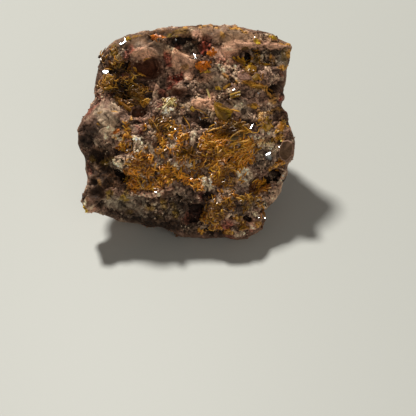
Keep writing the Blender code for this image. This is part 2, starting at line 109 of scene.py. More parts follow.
TAN = ovals(
    (145, 38, 28, 7, -12), (240, 38, 26, 8, 5), (182, 61, 12, 10, 20), 0.8, (272, 42, 18, 5, 8), 0.7,
    (190, 33, 30, 6, -2), 0.6, (160, 50, 18, 8, 5), (110, 44, 6, 4, -40), (254, 40, 20, 5, 8), 0.5, (220, 48, 16, 8),
    (120, 134, 8, 6), 0.4, (203, 104, 12, 7, 15),
)
# Warm tan on the face
WARM = ovals(
    (182, 61, 11, 10, 20), (226, 51, 14, 6), 0.8, (176, 52, 10, 5, 10), (120, 134, 8, 6), (204, 104, 11, 6, 15),
    (228, 59, 6, 4), 0.7, (144, 54, 12, 6, 5), (212, 98, 6, 6), 0.6, (112, 128, 8, 8), (190, 75, 5, 5), 0.5,
    (236, 44, 12, 3, 5), (207, 78, 8, 4),
)
# Dark olive brown on top
UMBER = ovals(
    (166, 33, 17, 6, -4), 0.9, (97, 193, 9, 8), 0.8, (183, 36, 10, 6), (88, 197, 6, 5), 0.75, (102, 168, 12, 24),
    0.7, (105, 182, 12, 8), 0.6, (200, 40, 6, 8), (152, 31, 8, 3, -10), (104, 56, 4, 8, 25), (160, 224, 30, 5, 8),
    0.5, (120, 47, 5, 4, -35), (134, 85, 10, 8), (105, 170, 10, 10), 0.4, (214, 36, 6, 6), (262, 37, 8, 3, 10),
    (185, 205, 14, 10),
)
# Shaded recesses, painted a brown shade
HOLLOW = ovals((148, 70, 12, 8, 8), 0.8, (178, 92, 6, 4), (255, 188, 4, 7, 25), 0.5, (141, 113, 5, 4))
PINK = ovals(
    (188, 74, 5, 4.5), (244, 75.5, 6, 5, 30), (138, 193.5, 9, 2.6, 12), (150, 195, 6, 2.2, -5),
    (159, 191.5, 7, 2.2, -18), (168, 187, 5, 3, -20), (91, 208, 4, 2), (93, 206.5, 4, 2.4, 30), 0.9,
    (146, 57, 11, 3, 5), (105, 97, 6, 4), (141, 119.5, 6, 2.5), (122, 136, 8, 6, 20), (287, 131, 4, 5), 0.8,
    (228, 59, 6, 3), (226, 52, 12, 6), (197, 34, 5, 5), (274, 44.5, 14, 2, 6), 0.7, (144, 51, 9, 4, 15),
    (154, 86, 5, 5), (246, 225, 10, 5), (212, 98, 5, 6), 0.6, (236, 114, 5, 3), (172, 56, 6, 5), 0.5,
    (243, 44, 16, 4, 5), (101, 84, 3, 10, 5), (202, 105, 10, 6, 15), (214, 58, 5, 4), 0.4, (264, 101, 10, 5),
    (280, 182, 5, 9, 10), (273, 196, 6, 5), (205, 77, 5, 3), (150, 47, 10, 3, 25), (171, 76, 5, 4, -45),
)
PALE = ovals(
    (208, 184, 6, 7, 20), (138, 144, 6, 9), (168, 112, 7, 5), (207, 184, 7, 7, 30), (244, 174, 10, 7, 20), 0.9,
    (117, 122, 3, 4), (211, 178, 5, 5), (276, 150, 4, 8), (240, 234, 5, 3), 0.8, (107, 134, 4, 5), (193, 138, 5, 8),
    (255, 137, 8, 4, -15), (222, 67, 12, 4), (262, 203, 6, 5, 20), (257, 214, 3, 3), (112, 130, 8, 8), 0.7,
    (110, 126, 9, 8, 45), (145, 147, 6, 6), (118, 164, 10, 8, 10), (126, 170, 6, 6, 30), (158, 163, 5, 5),
    (250, 181, 6, 7, 30), (264, 133, 8, 5), (234, 70, 6, 6), (268, 34.5, 6, 2, 5), 0.6, (265, 146, 9, 6),
    (115, 107, 6, 5), (152, 131, 6, 5), (173, 144, 6, 4), (175, 163, 6, 5), (246, 183, 8, 4), (206, 112, 6, 4, 30),
    (253, 213, 5, 4), (205, 210, 3, 3), (192, 29, 4, 2), (171, 47, 4, 3), (207, 147, 3, 2, 30), (98, 112, 5, 5),
    (112, 132, 8, 8), (284, 133, 4, 6), (262, 55, 2, 6, -4), (276, 56, 2, 6), 0.5, (105, 117, 8, 8, 30),
    (97, 142, 4, 3, 30), (218, 98, 4, 4), (269, 192, 4, 4), (190, 47, 6, 3), (187, 113, 4, 6), (281, 184, 5, 9, 10),
    (240, 106, 9, 5), (267, 148, 7, 6), (279, 163, 3, 3), (283, 180, 4, 8, 15), (252.5, 53.5, 3, 3), 0.4,
    (218, 78, 6, 4), (258, 91, 6, 4), (228, 93, 4, 3), (187, 103, 5, 4), (251, 150, 5, 5), (273, 196, 6, 5),
    (104, 128, 6, 6), (258, 51, 5, 2, 5), 0.3, (266, 70, 3, 2.4), (272, 77, 4, 4, -30), (207, 226, 5, 4),
    (210, 152, 3, 3), (197, 95, 6, 4),
)
GREY = ovals(
    0.9, (256, 158, 10, 8), (285, 57, 3.4, 8.5), 0.8, (215, 85, 14, 8), (268, 160, 8, 8), (181, 213, 4, 4),
    (182, 193, 9, 5), (144, 47, 8, 4, 20), 0.7, (184, 47, 8, 4), (240, 104, 9, 5), (246, 112, 8, 6),
    (212, 115, 5, 8), 0.6, (196, 84, 8, 6), (268, 113, 8, 5), (120, 52, 4, 5), (214, 70, 8, 4), (230, 192, 8, 6),
    (250, 203, 8, 6), (262, 143, 9, 7), (178, 121, 5, 6), (102, 90, 4, 8), (240, 106, 10, 5), (158, 52, 6, 4), 0.5,
    (174, 136, 8, 6), (237, 214, 9, 5), (176, 201, 10, 5), (157, 46, 8, 6, 10), (266, 56, 14, 6), 0.4,
    (236, 31, 10, 4, 5), (230, 104, 6, 3), 0.35, (192, 228, 10, 5), 0.3, (104, 144, 6, 4), (112, 130, 8, 8),
)
GREY_GREEN = ovals(
    (118, 203, 14, 7), (138, 204, 12, 8, 10), 0.9, (134, 198, 8, 4, 10), 0.8, (112, 199, 6, 5), (280, 58, 4, 7), 0.7,
    (145, 214, 12, 5, 20), (160, 210, 10, 7, 20), (266, 57, 3, 7), 0.5, (172, 208, 8, 8), (253, 53, 4, 3),
    (266, 57, 16, 8), 0.4, (124, 216, 5, 5),
)
RED = ovals(
    (175, 79, 9, 4, -45), (284, 104, 1.8, 9, -22), (175, 78, 10, 2.6, -43), 0.9, (130, 51, 5, 3, -15),
    (124, 76, 3.5, 4), 0.8, (204, 46, 7, 7, -20), (167, 58, 5, 3.5, 20), (178, 46, 3, 2.5), (227, 235, 8, 4, 20),
    (172, 84, 8, 3, -50), 0.7, (169, 64, 4, 3), (166, 57, 3, 6), 0.6, (98, 97, 2, 3), (88, 168, 2, 6),
    (142, 131, 3, 3), (205, 196, 7, 5), (224, 226, 8, 6), (196, 211, 5, 8), 0.5, (128, 57, 3, 3), (114, 94, 5, 2),
    (92, 108, 2, 12, 40), (140, 125, 5, 4), (162, 92, 4, 4), (282, 72, 3, 5), (247, 229, 5, 3), (283, 94, 3, 4),
    (130, 48, 4, 4), 0.4, (188, 218, 5, 6), (221, 60, 5, 3), (119, 90, 5, 3), 0.35, (206, 38, 6, 3), 0.3,
    (160, 104, 4, 3), (271, 56, 5, 4), 0.2, (190, 68, 3, 3),
)
OCHRE = ovals(
    (245, 31, 3.5, 2, 20), (274, 38, 4.5, 2, 5), (256, 85, 10, 3.2, 10), (264, 88, 6, 2.8, 20), (118, 131, 1.8, 2.6),
    (86, 204.5, 2.4, 1.6, 45), (261, 191, 9, 2, -18), (155.5, 35.5, 7, 2.6, -2), (201, 66, 5.5, 3.6, -15), 0.9,
    (146.5, 59.5, 4, 1.2, -12), (236, 28, 10, 1.8, 5), (288.5, 54, 2.5, 5), (283, 67, 5, 2.2, -15),
    (248, 83, 6, 2.4, 12), (204, 71.5, 6, 1.6, 5), (255, 106.5, 6, 2.4, 10), (276, 166, 4, 1.5, -15),
    (283, 163, 2, 4), (114.5, 111.5, 3, 1.3), (97.5, 124.3, 2.6, 1.2, 15), (225.5, 75, 3.4, 1.8, 35), 0.8,
    (137, 35.5, 5, 1.6, -5), (183, 28, 4, 1.2), (221.5, 34, 2, 4, -35), (257, 42, 4, 2.5), (271.5, 57, 1.2, 7, 6),
    (285, 43.5, 6, 1.5, 12), (268, 91, 6, 2.4, 25), (281, 138, 7, 4, -10), (272, 168, 4, 1.6, -30),
    (114, 138, 2.4, 1.2), (240, 199, 4, 1.6, 15), (143, 102, 4, 2, -20), (258, 224, 5, 2.4, 30), 0.7,
    (259, 55, 1.2, 5, 8), (246, 82, 4, 1.5, 20), (274, 95, 6, 3, 20), (236, 82, 3, 1.5), (284, 135, 3, 2.5),
    (256, 187, 6, 3, -20), (131, 119, 2, 3), 0.6, (213, 27, 5, 1.5), (275, 60, 1.2, 4), (184, 66, 3, 3),
    (274, 100, 4, 4), (270, 112, 6, 2, -20), (261, 114, 4, 2, 30), (100, 112, 2.4, 1), 0.5, (203, 27, 4, 1.2),
    (278, 109, 4, 2, 20), (265, 141, 10, 4), (263, 117, 6, 3, 20), 0.4, (233, 181, 4, 3), (185, 105, 5, 2, -20), 0.3,
    (99, 183, 4, 4),
)
OLIVE = ovals(
    (114, 50, 4.5, 5.5), (109.5, 195, 2.6, 4, 15), (124, 198, 4.5, 4, -20), 0.9, (169, 34.5, 4, 2, 5),
    (176, 36.4, 2, 1.2), 0.8, (256.5, 57, 3.2, 7, 4), (112, 192, 2, 2.5), (105, 161, 5, 4), (174, 214, 4, 5),
    (124, 197.4, 3.6, 3, -20), 0.7, (119, 60, 5, 5), (150, 208, 5, 3), 0.6, (127, 193, 3, 4), (92, 159, 3.5, 4),
    (163, 205, 3, 6), (172, 206, 3, 3), (112, 88, 8, 4), (117, 67, 5, 3), (224, 118, 6, 3), (247, 50, 5, 2), 0.5,
    (110, 158, 4, 3), (157, 216, 5, 3, 30), (128, 212, 5, 3), (284, 56, 3, 7), 0.35, (180, 31, 8, 3), 0.3,
    (261, 60, 2, 4, -6), (270.6, 56.5, 2.4, 7.5, 4), 0.2, (213, 112, 3, 6),
)
# Where the rock is painted near-black: painted shade in pits, crevices and gaps and on the underside, and the rock's
# darkest spots
DARK_AND_SHADED = ovals(
    (248, 59, 3.4, 3.6), (241.8, 66, 2, 3, 10), (278, 86, 8, 3, -35), (128, 98, 7, 3), (86, 142, 8, 8),
    (120, 173, 9, 3.5, 30), (125, 178, 4, 4), (213, 235, 12, 4, 3), (274, 175, 11, 3.2, -35), (247, 219.5, 4.5, 2.2),
    (274, 175, 12, 4.2, -34), (279, 86.5, 8, 3, -25), (274.5, 88.4, 5, 1.5, -15), 0.9, (184, 41, 9, 3, -5),
    (203, 53.5, 4, 2), (252, 74, 3, 1.4), (284, 93, 2, 4, -30), (131, 151, 3, 2), (92, 183, 4, 5),
    (117, 169, 3, 1.5), (85, 197, 3, 3), (101, 205, 5, 4), (136, 217, 8, 6), (155, 227, 25, 4, 5),
    (266, 182, 5, 3, -35), (281, 173, 4, 3), (263, 210, 5, 1.6, -20), (83.4, 198, 1.6, 3), 0.85, (178, 92, 7, 4.5),
    (97, 193, 9, 7), 0.8, (157, 74, 4, 5, 8), (140, 64, 7, 3), (123, 96, 10, 5, 10), (276, 73, 5, 4),
    (233, 99, 8, 2, 5), (126, 86, 8, 4), (124, 93, 7, 2), (110, 67, 3, 4), (125, 67, 5, 4), (139, 112, 4.5, 3.6, 15),
    (137, 123, 4, 2.5), (122, 124, 2.5, 1.2), (136, 149, 2.5, 1.8), (122, 162, 2.5, 2), (83, 203, 1.5, 4),
    (112, 212, 7, 3, 15), (122, 196, 2.5, 1.2), (146, 222, 10, 4), (202, 216, 3, 6), (208, 195, 8, 6),
    (179, 178, 3, 2), (222, 136, 7, 3, -15), (205, 123, 10, 4, 5), (248, 122, 10, 4, 5), (188, 153, 9, 5),
    (151, 182, 5, 3), (185, 107, 3, 1.5), (262, 162, 8, 3), (231, 219, 4, 2), (218, 232, 8, 3), (183, 208, 10, 7),
    (96.5, 201, 3, 3.5), (128, 96, 6, 4, 10), (118, 92, 4, 2.4), 0.75, (255, 186, 6, 9, 25), 0.7, (143, 84, 7, 6),
    (185, 84, 4, 3.5), (177, 43, 3, 2.5), (193, 38, 3, 2), (199, 45, 2, 4), (210, 50, 2, 2), (283, 78, 3, 6),
    (226, 100, 4, 2.5), (276, 112, 3, 2), (116, 89, 6, 4), (116, 73, 4, 3), (134, 83, 6, 4), (140, 75, 5, 4),
    (141, 109, 3, 2), (100, 152, 10, 7), (92, 170, 5, 8), (116, 161, 2, 2), (124, 211, 6, 3), (185, 205, 10, 6),
    (196, 214, 7, 10), (187, 224, 7, 8), (205, 203, 5, 4), (192, 199, 6, 6), (190, 190, 4, 2.5),
    (238, 136, 7, 4, -15), (193, 162, 5, 4), (158, 132, 5, 2, 40), (154, 124, 3, 4, 30), (256, 163, 4, 3),
    (279, 133, 3, 2.5), (238, 222, 4, 3, 20), (160, 217, 24, 5, 8), (128, 219, 16, 4, 12), 0.6, (209, 63, 3.5, 3),
    (214, 43, 4, 3), (264.6, 57, 1.5, 5, -6), (251, 64, 3, 1.5), (103, 60, 3, 4), (147, 95, 6, 4), (123, 53, 1.5, 3),
    (100, 68, 2, 6, 10), (97, 85, 1.5, 5), (143.5, 114, 4, 3), (144, 124, 6, 2.5, 5), (92, 130, 9, 6),
    (84, 128, 4, 5), (106, 147, 5, 4), (113, 142, 2.5, 4), (88, 155, 5, 6), (121, 147, 4, 3), (118, 178, 5, 4),
    (104, 170, 8, 5), (150, 203, 4, 3), (166, 224, 10, 3), (178, 196, 2.5, 4), (186, 185, 6, 2.5, 5),
    (256, 126, 4, 5), (223, 123, 4, 2), (182, 155, 5, 4), (143, 181, 4, 3), (222, 180, 6, 4), (238, 190, 6, 4),
    (270, 162, 5, 5), (217, 205, 7, 4), (239, 214, 5, 2.5), (178, 222, 10, 8), (115, 215, 12, 3, 12),
    (257, 147, 3, 2), (270, 146, 3, 2), (264, 158, 9, 2.4), (89, 195, 4, 2), 0.5, (150, 71, 8, 4, 8),
    (138, 79, 6, 5), (246, 52, 4, 2), (272, 65.5, 5, 1.4, 10), (110, 59, 3, 3), (119, 80, 3, 3), (124, 126, 2, 2),
    (120, 183, 4, 3), (112, 158, 2, 2), (123, 186, 4, 3), (131, 189, 3, 2), (174, 189, 4, 2.5), (205, 190, 3, 2),
    (229, 127, 5, 3), (197, 148, 3, 3), (166, 168, 5, 3), (233, 180, 3, 2), (256, 150, 3, 2), (215, 222, 4, 3),
    (226, 210, 4, 3), (256, 222, 3, 3), (240, 207, 6, 4), 0.4, (164, 80, 5, 6), (253, 50.5, 5, 1.4, 10),
    (243, 108, 4, 3), (105, 180, 5, 5), (205, 155, 6, 5), (173, 119, 5, 5), (168, 126, 8, 4), (226, 172, 8, 3),
    (229, 193, 4, 3), (263, 150, 4, 2.5), (272, 181, 5, 2, -30), (244, 200, 4, 3),
)
# Where the rock is dim: painted shade on its underside and in its gaps and hollows, and a darker tone on the top band;
# the last number is the share of its colour that is lost
DIM_ROCK = ovals(
    0.8, (122, 86, 22, 14, 15), 0.6, (150, 222, 42, 7, 8), 0.5, (185, 205, 17, 13), (205, 200, 10, 12),
    (215, 232, 14, 6), (88, 138, 9, 13), (125, 216, 22, 5, 12), 0.4, (148, 78, 18, 12, 10), (240, 205, 14, 8),
    (104, 60, 6, 12, 15), (184, 42, 14, 6, -5), (104, 178, 14, 8), (185, 232, 20, 5, 8), 0.35, (135, 39, 32, 8, -12),
    (166, 33, 9, 4, -4), (242, 201, 12, 7), 0.3, (100, 160, 14, 12), (250, 190, 10, 8), (188, 92, 14, 7),
    (98, 122, 4, 10, 40), 0.25, (281, 63, 5, 4), 0.2, (97, 190, 11, 10),
)
# Painted highlights: places that take the light best, painted a pale pink
BRIGHT_PINK = ovals(
    0.8, (226, 52, 12, 6), (139, 194, 8, 1.8, 12), (150, 195.4, 5, 1.5, -5), (159, 192, 6, 1.5, -18), 0.7,
    (188, 75, 4, 4), 0.6, (182, 61, 9, 8, 20), 0.5, (216, 56, 6, 5), 0.35, (262, 46, 25, 1.8, 3),
)
# Whitish places: pale druse, made paler here as painted light, and painted highlights on the knob at the lower left
WHITISH = ovals(
    0.9, (91.8, 204.8, 2.6, 2, 20), 0.8, (207, 182, 5, 6, 30), (244, 172, 7, 3, -10), (257, 214, 3, 2.4),
    (86.8, 201, 2, 2.4), 0.6, (87, 208, 2, 2), 0.5, (166, 112, 5, 3), (265, 148, 4, 3), (120, 134, 6, 5), 0.4,
    (193, 138, 3, 6), (246, 227, 6, 3), (112, 130, 6, 6), 0.3, (211, 178, 4, 3), (140, 143, 4, 6),
    (118, 163, 7, 4, 15), (240, 106, 6, 3),
)
# Raised places; the last number is the height in mm
LUMPS = ovals(
    0.8, (91, 203, 6, 6), 0.6, (139, 193.5, 10, 3, 12), (152, 195, 6, 2.6, -6), (162, 191, 7, 2.6, -18),
    (265, 160, 6, 4), 0.5, (214, 80, 11, 6), (254, 223, 8, 7), (138, 144, 5, 8), (193, 138, 4, 7), (168, 112, 7, 5),
    (244, 171, 8, 4, -10), (110, 118, 10, 8, 40), 0.4, (179, 90, 6, 4.6), (118, 163, 8, 5, 10),
    (263, 45.8, 26, 1.9, 3), 0.3, (207, 183, 7, 6, 30), (226, 52, 14, 6), 0.2, (150, 55, 8, 4, 10),
    (204, 104, 9, 5, 15), 0.15, (146, 51, 16, 7, 12),
)
# Sunk places; the last number is the depth in mm
PITS = ovals(
    2.1, (275, 174.5, 12, 3.4, -33), 1.9, (120, 173, 8, 2.8, 30), 1.8, (279, 86.5, 8, 2.6, -25), 1.4,
    (248, 59, 3, 3.2), (125, 178, 3.5, 3.5), (247, 219.5, 4, 2), 1.3, (128, 98, 6, 2.5), (213, 235, 11, 3, 3), 1.2,
    (266, 182, 4, 2.4, -35), 1, (139, 112.4, 3.6, 3, 15), (241.8, 66, 1.8, 2.6, 10), 0.9, (143.5, 114, 3, 2.2),
    (110, 67, 2.5, 3.5), (184, 41, 8, 2.4, -5), (178, 92, 6, 3.5), (255, 186, 5, 8, 25), (196, 214, 5, 8),
    (263, 210, 4, 1.4, -20), 0.8, (125, 67, 4, 3), (205, 123, 8, 3, 5), (222, 136, 6, 2.4, -15), (188, 153, 7, 3.6),
    (155.5, 36, 13, 6), 0.7, (122, 162, 2, 1.6), (117, 169, 2.6, 1.3), (131, 151, 2.4, 1.6), (138, 123, 3.4, 2),
    (248, 122, 8, 3, 5), (231, 219, 3, 1.6), (101, 205, 3, 3), (203, 53.5, 3.4, 1.8), 0.6, (116, 161, 1.6, 1.6),
    (136, 149, 2, 1.6), (86, 142, 6, 7), (151, 182, 4, 2.4), (92, 183, 3, 4), (252, 74, 2.6, 1.2),
    (139.5, 60.5, 1.3, 0.9), (143, 84, 5, 4), (190, 190, 3, 2), 0.5, (147, 70, 12, 7.5, 8),
    (264.6, 57, 1.5, 5.5, -6), (208, 196, 6, 4), (136, 217, 6, 4), (233, 99, 6, 1.6, 5), (262, 162, 6, 2),
    (178, 196, 2, 3), (185, 84, 3, 2.4), (276, 73, 4, 3), (139, 50, 5, 4.5), 0.45, (264, 51.5, 22, 2.6, 4), 0.3,
    (263, 152, 8, 4),
)
# Where the rock is fibrous
FIBRES = ovals(
    (106, 118, 15, 16, 30), 0.9, (104, 168, 16, 26), 0.8, (130, 204, 28, 10, 8), (246, 178, 10, 9, 20), 0.7,
    (92, 132, 10, 9), 0.5, (184, 62, 10, 9), (220, 108, 20, 10), (150, 52, 20, 12),
)
# Under the ledge, where a hollow stays light
LEDGE = ovals((266, 58, 24, 11))
# Where wulfenite plates stand close: the last number is how closely
CENTRE_BED = ovals(
    (232, 155, 20, 12), (159, 154.5, 8, 3.5, 15), (138, 172, 10, 16), (150, 174, 9, 12), (163, 176, 9, 8), 0.9,
    (215, 145, 10, 9), (226, 128, 16, 6, -12), (180, 172, 7, 7), (153, 186, 7, 4), 0.8, (243, 145, 10, 6),
    (205, 141, 6, 6), (240, 131, 12, 5, 10), (207, 160, 9, 8), (222, 168, 14, 6), (240, 165, 10, 4),
    (158, 137, 3.5, 3.5), (151, 149, 6, 4), (146, 160, 7, 5), (188, 166, 7, 6), 0.7, (196, 166, 8, 6),
    (164, 142, 4, 3.5), (175, 150, 8, 5), (128, 126, 3, 6, -10), (127, 136, 4, 4), (126, 147, 5, 5),
    (132, 163, 6, 6), (170, 165, 6, 6), (163, 168, 5, 4), (135, 186, 6, 4), 0.6, (180, 131, 8, 4, 20),
    (184, 140, 6, 6), (172, 182, 5, 4), (185, 182, 5, 3), (240, 177, 6, 4), 0.5, (164, 123, 8, 7, 20),
    (190, 147, 8, 5), (184, 157, 9, 6), (124, 122, 3, 3), (195, 175, 6, 6), (198, 185, 5, 5), (188, 178, 5, 4),
    (218, 180, 6, 5), (235, 170, 6, 4), 0.45, (156, 125, 4, 7, -30), 0.4, (231, 194, 4, 5), 0.3, (230, 184, 6, 5),
    (170, 134, 5, 4), 0.2, (146, 128, 4, 4),
)
BARE_IN_CENTRE = ovals(
    (138, 144, 6, 8), (118, 164, 8, 6), (207, 183, 6, 7, 30), (141, 113, 7, 6), 0.9, (168, 112, 8, 5),
    (193, 138, 4.5, 8), (158, 164, 4, 4), (246, 176, 9, 8, 20), 0.8, (145, 141, 5, 4), (182, 188, 8, 4),
    (178, 121, 4, 5), 0.7, (175, 163, 4.5, 4), (152, 131, 5, 4), (173, 144, 5, 3), (238, 136, 6, 3, -15),
    (205, 123, 8, 3, 5), 0.6, (176, 185, 3, 3), (213, 152, 1.5, 4), (222, 137, 5, 2, -15), (164, 132, 3, 4),
    (149, 166, 3, 3), (202, 170, 4, 3), 0.4, (186, 172, 3, 3),
)
# Where the wulfenite is dim and brown
DIM_BED = ovals(
    (226, 128, 20, 7, -8), (125, 92, 18, 11, 15), (242, 203, 13, 8), 0.9, (188, 153, 14, 8), (164, 124, 14, 9, 10),
    0.8, (128, 95, 8, 5, 10), 0.7, (120, 68, 10, 7), (240, 222, 10, 6), 0.6, (211, 153, 10, 9), (240, 200, 10, 7),
    (225, 182, 12, 8), 0.5, (215, 205, 9, 4), (198, 184, 6, 6), (226, 212, 12, 10), (266, 124, 5, 5), 0.4,
    (222, 170, 12, 5), (145, 182, 9, 4), (258, 190, 8, 5), (112, 88, 10, 5),
)
LOBE_BED = ovals(
    (211, 213, 7, 8), 0.9, (206, 216, 4, 5), 0.8, (216, 222, 7, 6), (236, 219, 5, 3, 25), 0.7, (215, 201, 7, 5),
    (230, 202, 6, 6), (257, 201, 5, 5), 0.6, (247, 203, 6, 6), 0.5, (261, 205, 4, 4), (243, 225, 4, 3, 40),
    (231, 231, 5, 2), 0.4, (240, 198.5, 5, 2.5, 10), (222, 193, 5, 4), (224, 213, 4, 4), 0.3, (257, 225, 5, 2, 25),
    (203, 230, 6, 3), 0.15, (262, 219, 2.5, 5, 10),
)
TANGLE_BED = ovals(
    (109, 79, 6, 4), 0.8, (106, 86, 6, 3, -10), (134, 92.5, 6, 2, 5), 0.7, (114, 84, 6, 4), (116, 68, 6, 3),
    (132, 74, 5, 4, 30), (137, 98, 6, 3, 20), 0.6, (118, 62, 6, 5), (112, 88, 5, 3), (115, 51.5, 3, 3.5),
    (124, 102, 8, 4, 35), (142, 102, 5, 3, -20), 0.5, (125, 89, 8, 3), (143, 90, 6, 4), 0.4, (104, 57, 4, 2), 0.35,
    (120, 78, 14, 12), (130, 92, 14, 10, 10),
)
CLUSTER_BED = ovals(
    (251, 70, 6, 6, 30), 0.9, (257, 74, 5, 3), (239, 61, 6, 2, 30), (263, 64.5, 4, 2), 0.7, (251, 77, 4, 2), 0.5,
    (256, 55, 4, 4), (255, 65, 3, 4), (268, 72, 2, 2),
)
EDGE_BED = ovals(
    (281, 125, 4.5, 5), 0.8, (266, 124, 5.5, 5), 0.5, (278, 140, 5, 4, -20), 0.4, (274, 129, 4, 4), (270, 118, 4, 3),
)
SLOT_BED = ovals(
    (262, 190, 9, 2.6, -18), 0.7, (256, 188, 5, 4), 0.5, (258, 184, 3, 4, -40), 0.25, (276, 165.4, 5, 1.4, -20),
)
SPRAY_BED = ovals((166, 103, 7, 3.5, -25), (171, 102, 4, 4), 0.7, (162, 107, 4, 2, -30))
STRAND_BED = ovals(
    (232, 152, 18, 10, -5), 0.8, (216, 140, 9, 7, -25), (226, 128, 14, 5, -15), (243, 146, 8, 5), 0.7,
    (225, 165, 14, 4, 10), 0.6, (204, 142, 5, 5),
)
# Coloured grains
ORANGE_GRAINS = ovals(
    (155.5, 35.5, 7.5, 2.7, -2), (201, 66, 6, 3.8, -15), (211.5, 54, 2.6, 2.2, -10), 0.8, (118, 131, 1.6, 2.2),
)
YELLOW_GRAINS = ovals(
    (127.3, 38.7, 1.8, 1.3, 10), (192.3, 108, 1.2, 1.2), (217.6, 89, 1.5, 1.7), (290, 147.5, 1.2, 1.1),
    (86.5, 204, 1.6, 1.2, 45), 0.8, (256.5, 42, 2.5, 1.8), (250, 66, 2.2, 1.6), 0.7, (274, 38, 3.6, 1.6, 5), 0.6,
    (204, 72, 4, 1), 0.5, (204, 71.5, 4, 1.2, 5),
)

# ---------------------------------------------------------------- colours (linear)
MAUVE = (0.27, 0.155, 0.105)
BROWN = (0.10, 0.048, 0.026)
SHADE = (0.016, 0.0075, 0.0045)
TAN_COLOUR = (0.36, 0.205, 0.115)
WARM_COLOUR = (0.74, 0.40, 0.235)
# Brown painted shade for the recesses
HOLLOW_SHADE_COLOUR = (0.17, 0.056, 0.026)
PINK_COLOUR = (0.62, 0.33, 0.215)
PALE_COLOUR = (0.78, 0.59, 0.40)
GREY_COLOUR = (0.36, 0.26, 0.18)
RED_COLOUR = (0.30, 0.042, 0.022)
OCHRE_COLOUR = (0.60, 0.28, 0.03)
OLIVE_COLOUR = (0.32, 0.19, 0.018)
GREEN_COLOUR = (0.36, 0.29, 0.205)
# Painted shade under and between the wulfenite plates
BED_SHADE_COLOUR = (0.055, 0.024, 0.007)
ORANGE = ((0.82, 0.32, 0.022), (0.62, 0.24, 0.016), (0.44, 0.19, 0.015), (0.76, 0.37, 0.035), (0.30, 0.10, 0.007))
GOLDEN = ((0.46, 0.21, 0.022), (0.33, 0.145, 0.016), (0.58, 0.28, 0.04), (0.22, 0.092, 0.010))
BRIGHT = ((0.62, 0.31, 0.018), (0.48, 0.22, 0.012), (0.34, 0.175, 0.015))
STRAW = ((0.62, 0.46, 0.17), (0.44, 0.28, 0.08), (0.74, 0.62, 0.34))
UMBER_COLOUR = (0.13, 0.058, 0.022)
# Painted highlight colour
BRIGHT_PINK_COLOUR = (0.92, 0.53, 0.36)
WHITISH_COLOUR = (0.92, 0.71, 0.47)


# ---------------------------------------------------------------- numbers that repeat
def hashed(cells, seed):
    """A repeatable number from 0 to 1 for each whole-number place."""
    held = cells.astype(np.int64).astype(np.uint64)
    bits = held[..., 0] * np.uint64(73856093) ^ held[..., 1] * np.uint64(19349663)
    bits = bits ^ held[..., 2] * np.uint64(83492791) ^ np.uint64(seed * 2654435761)
    bits = (bits ^ (bits >> np.uint64(15))) * np.uint64(2246822519)
    bits = (bits ^ (bits >> np.uint64(29))) * np.uint64(3266489917)
    bits = bits ^ (bits >> np.uint64(32))
    return (bits & np.uint64(0xFFFFFF)).astype(float) / float(0xFFFFFF)


def noise(places, size, seed):
    """Smooth noise from -1 to 1 whose lumps are about this size, mm."""
    scaled = places / size
    low = np.floor(scaled)
    part = scaled - low
    part = part * part * (3.0 - 2.0 * part)
    total = np.zeros(len(places))
    for corner in itertools.product((0, 1), repeat=3):
        weight = np.prod(np.where(corner, part, 1.0 - part), axis=1)
        total += weight * hashed(low + corner, seed)
    return total * 2.0 - 1.0


def layered(places, size, seed, layers=3):
    """Noise with finer and weaker noise on top."""
    total = np.zeros(len(places))
    for layer in range(layers):
        total += noise(places, size / 2**layer, seed + 7 * layer) / 2**layer
    return total


def cells_of(places, size, seed):
    """Nearest and second nearest distance, the nearest cell's own number, and the way to its middle, in cell sizes."""
    scaled = places / size
    low = np.floor(scaled)
    first = np.full(len(places), 9.0)
    second = first.copy()
    own = np.zeros(len(places))
    way = np.zeros_like(scaled)
    for offset in itertools.product((-1, 0, 1), repeat=3):
        cell = low + offset
        spot = cell + np.stack([hashed(cell, seed + axis) for axis in (1, 2, 3)], axis=1)
        aside = scaled - spot
        away = np.sqrt((aside * aside).sum(axis=1))
        nearer = away < first
        second = np.where(nearer, first, np.minimum(second, away))
        own = np.where(nearer, hashed(cell, seed + 4), own)
        way[nearer] = aside[nearer]
        first = np.where(nearer, away, first)
    return first, second, own, way


def chips(places, size, seed):
    """Flat facets that each tilt their own way: height in cell sizes, and how far from a facet's edge."""
    first, second, own, way = cells_of(places, size, seed)
    turn = own * 2.0 * math.pi * 7.0
    tilt = np.stack([np.cos(turn), np.sin(turn), np.cos(turn * 1.7)], axis=1)
    return (way * tilt).sum(axis=1) + own - 0.5, second - first


def smooth_step(low, high, value):
    held = np.clip((value - low) / (high - low), 0.0, 1.0)
    return held * held * (3.0 - 2.0 * held)


def mixed(base, colour, share):
    return base * (1.0 - share[:, None]) + np.asarray(colour) * share[:, None]


def unit(vectors):
    return vectors / np.linalg.norm(vectors, axis=-1, keepdims=True).clip(1e-9)


# ---------------------------------------------------------------- view places
def view_places(points):
    """(x, y) px of points in mm."""
    held = points - CAMERA_PLACE
    away = held @ VIEW_AWAY
    return np.stack([held @ VIEW_RIGHT, held @ VIEW_DOWN], axis=1) * FOCAL / away[:, None] + FRAME_SIDE / 2


def view_ray(x, y):
    """The direction from the camera through a view place."""
    half = FRAME_SIDE / 2
    return unit(VIEW_AWAY + VIEW_RIGHT * ((x - half) / FOCAL) + VIEW_DOWN * ((y - half) / FOCAL))


def oval_mask(view, rows, edge=0.35):
    """How much each view place is inside the ovals, from 0 to the ovals' strength."""
    total = np.zeros(len(view))
    for x, y, wide, high, turn, strength in rows:
        c, s = math.cos(math.radians(turn)), math.sin(math.radians(turn))
        dx, dy = view[:, 0] - x, view[:, 1] - y
        away = np.hypot((dx * c + dy * s) / wide, (dy * c - dx * s) / high)
        total = np.maximum(total, strength * smooth_step(1.0 + edge, 1.0 - edge, away))
    return total


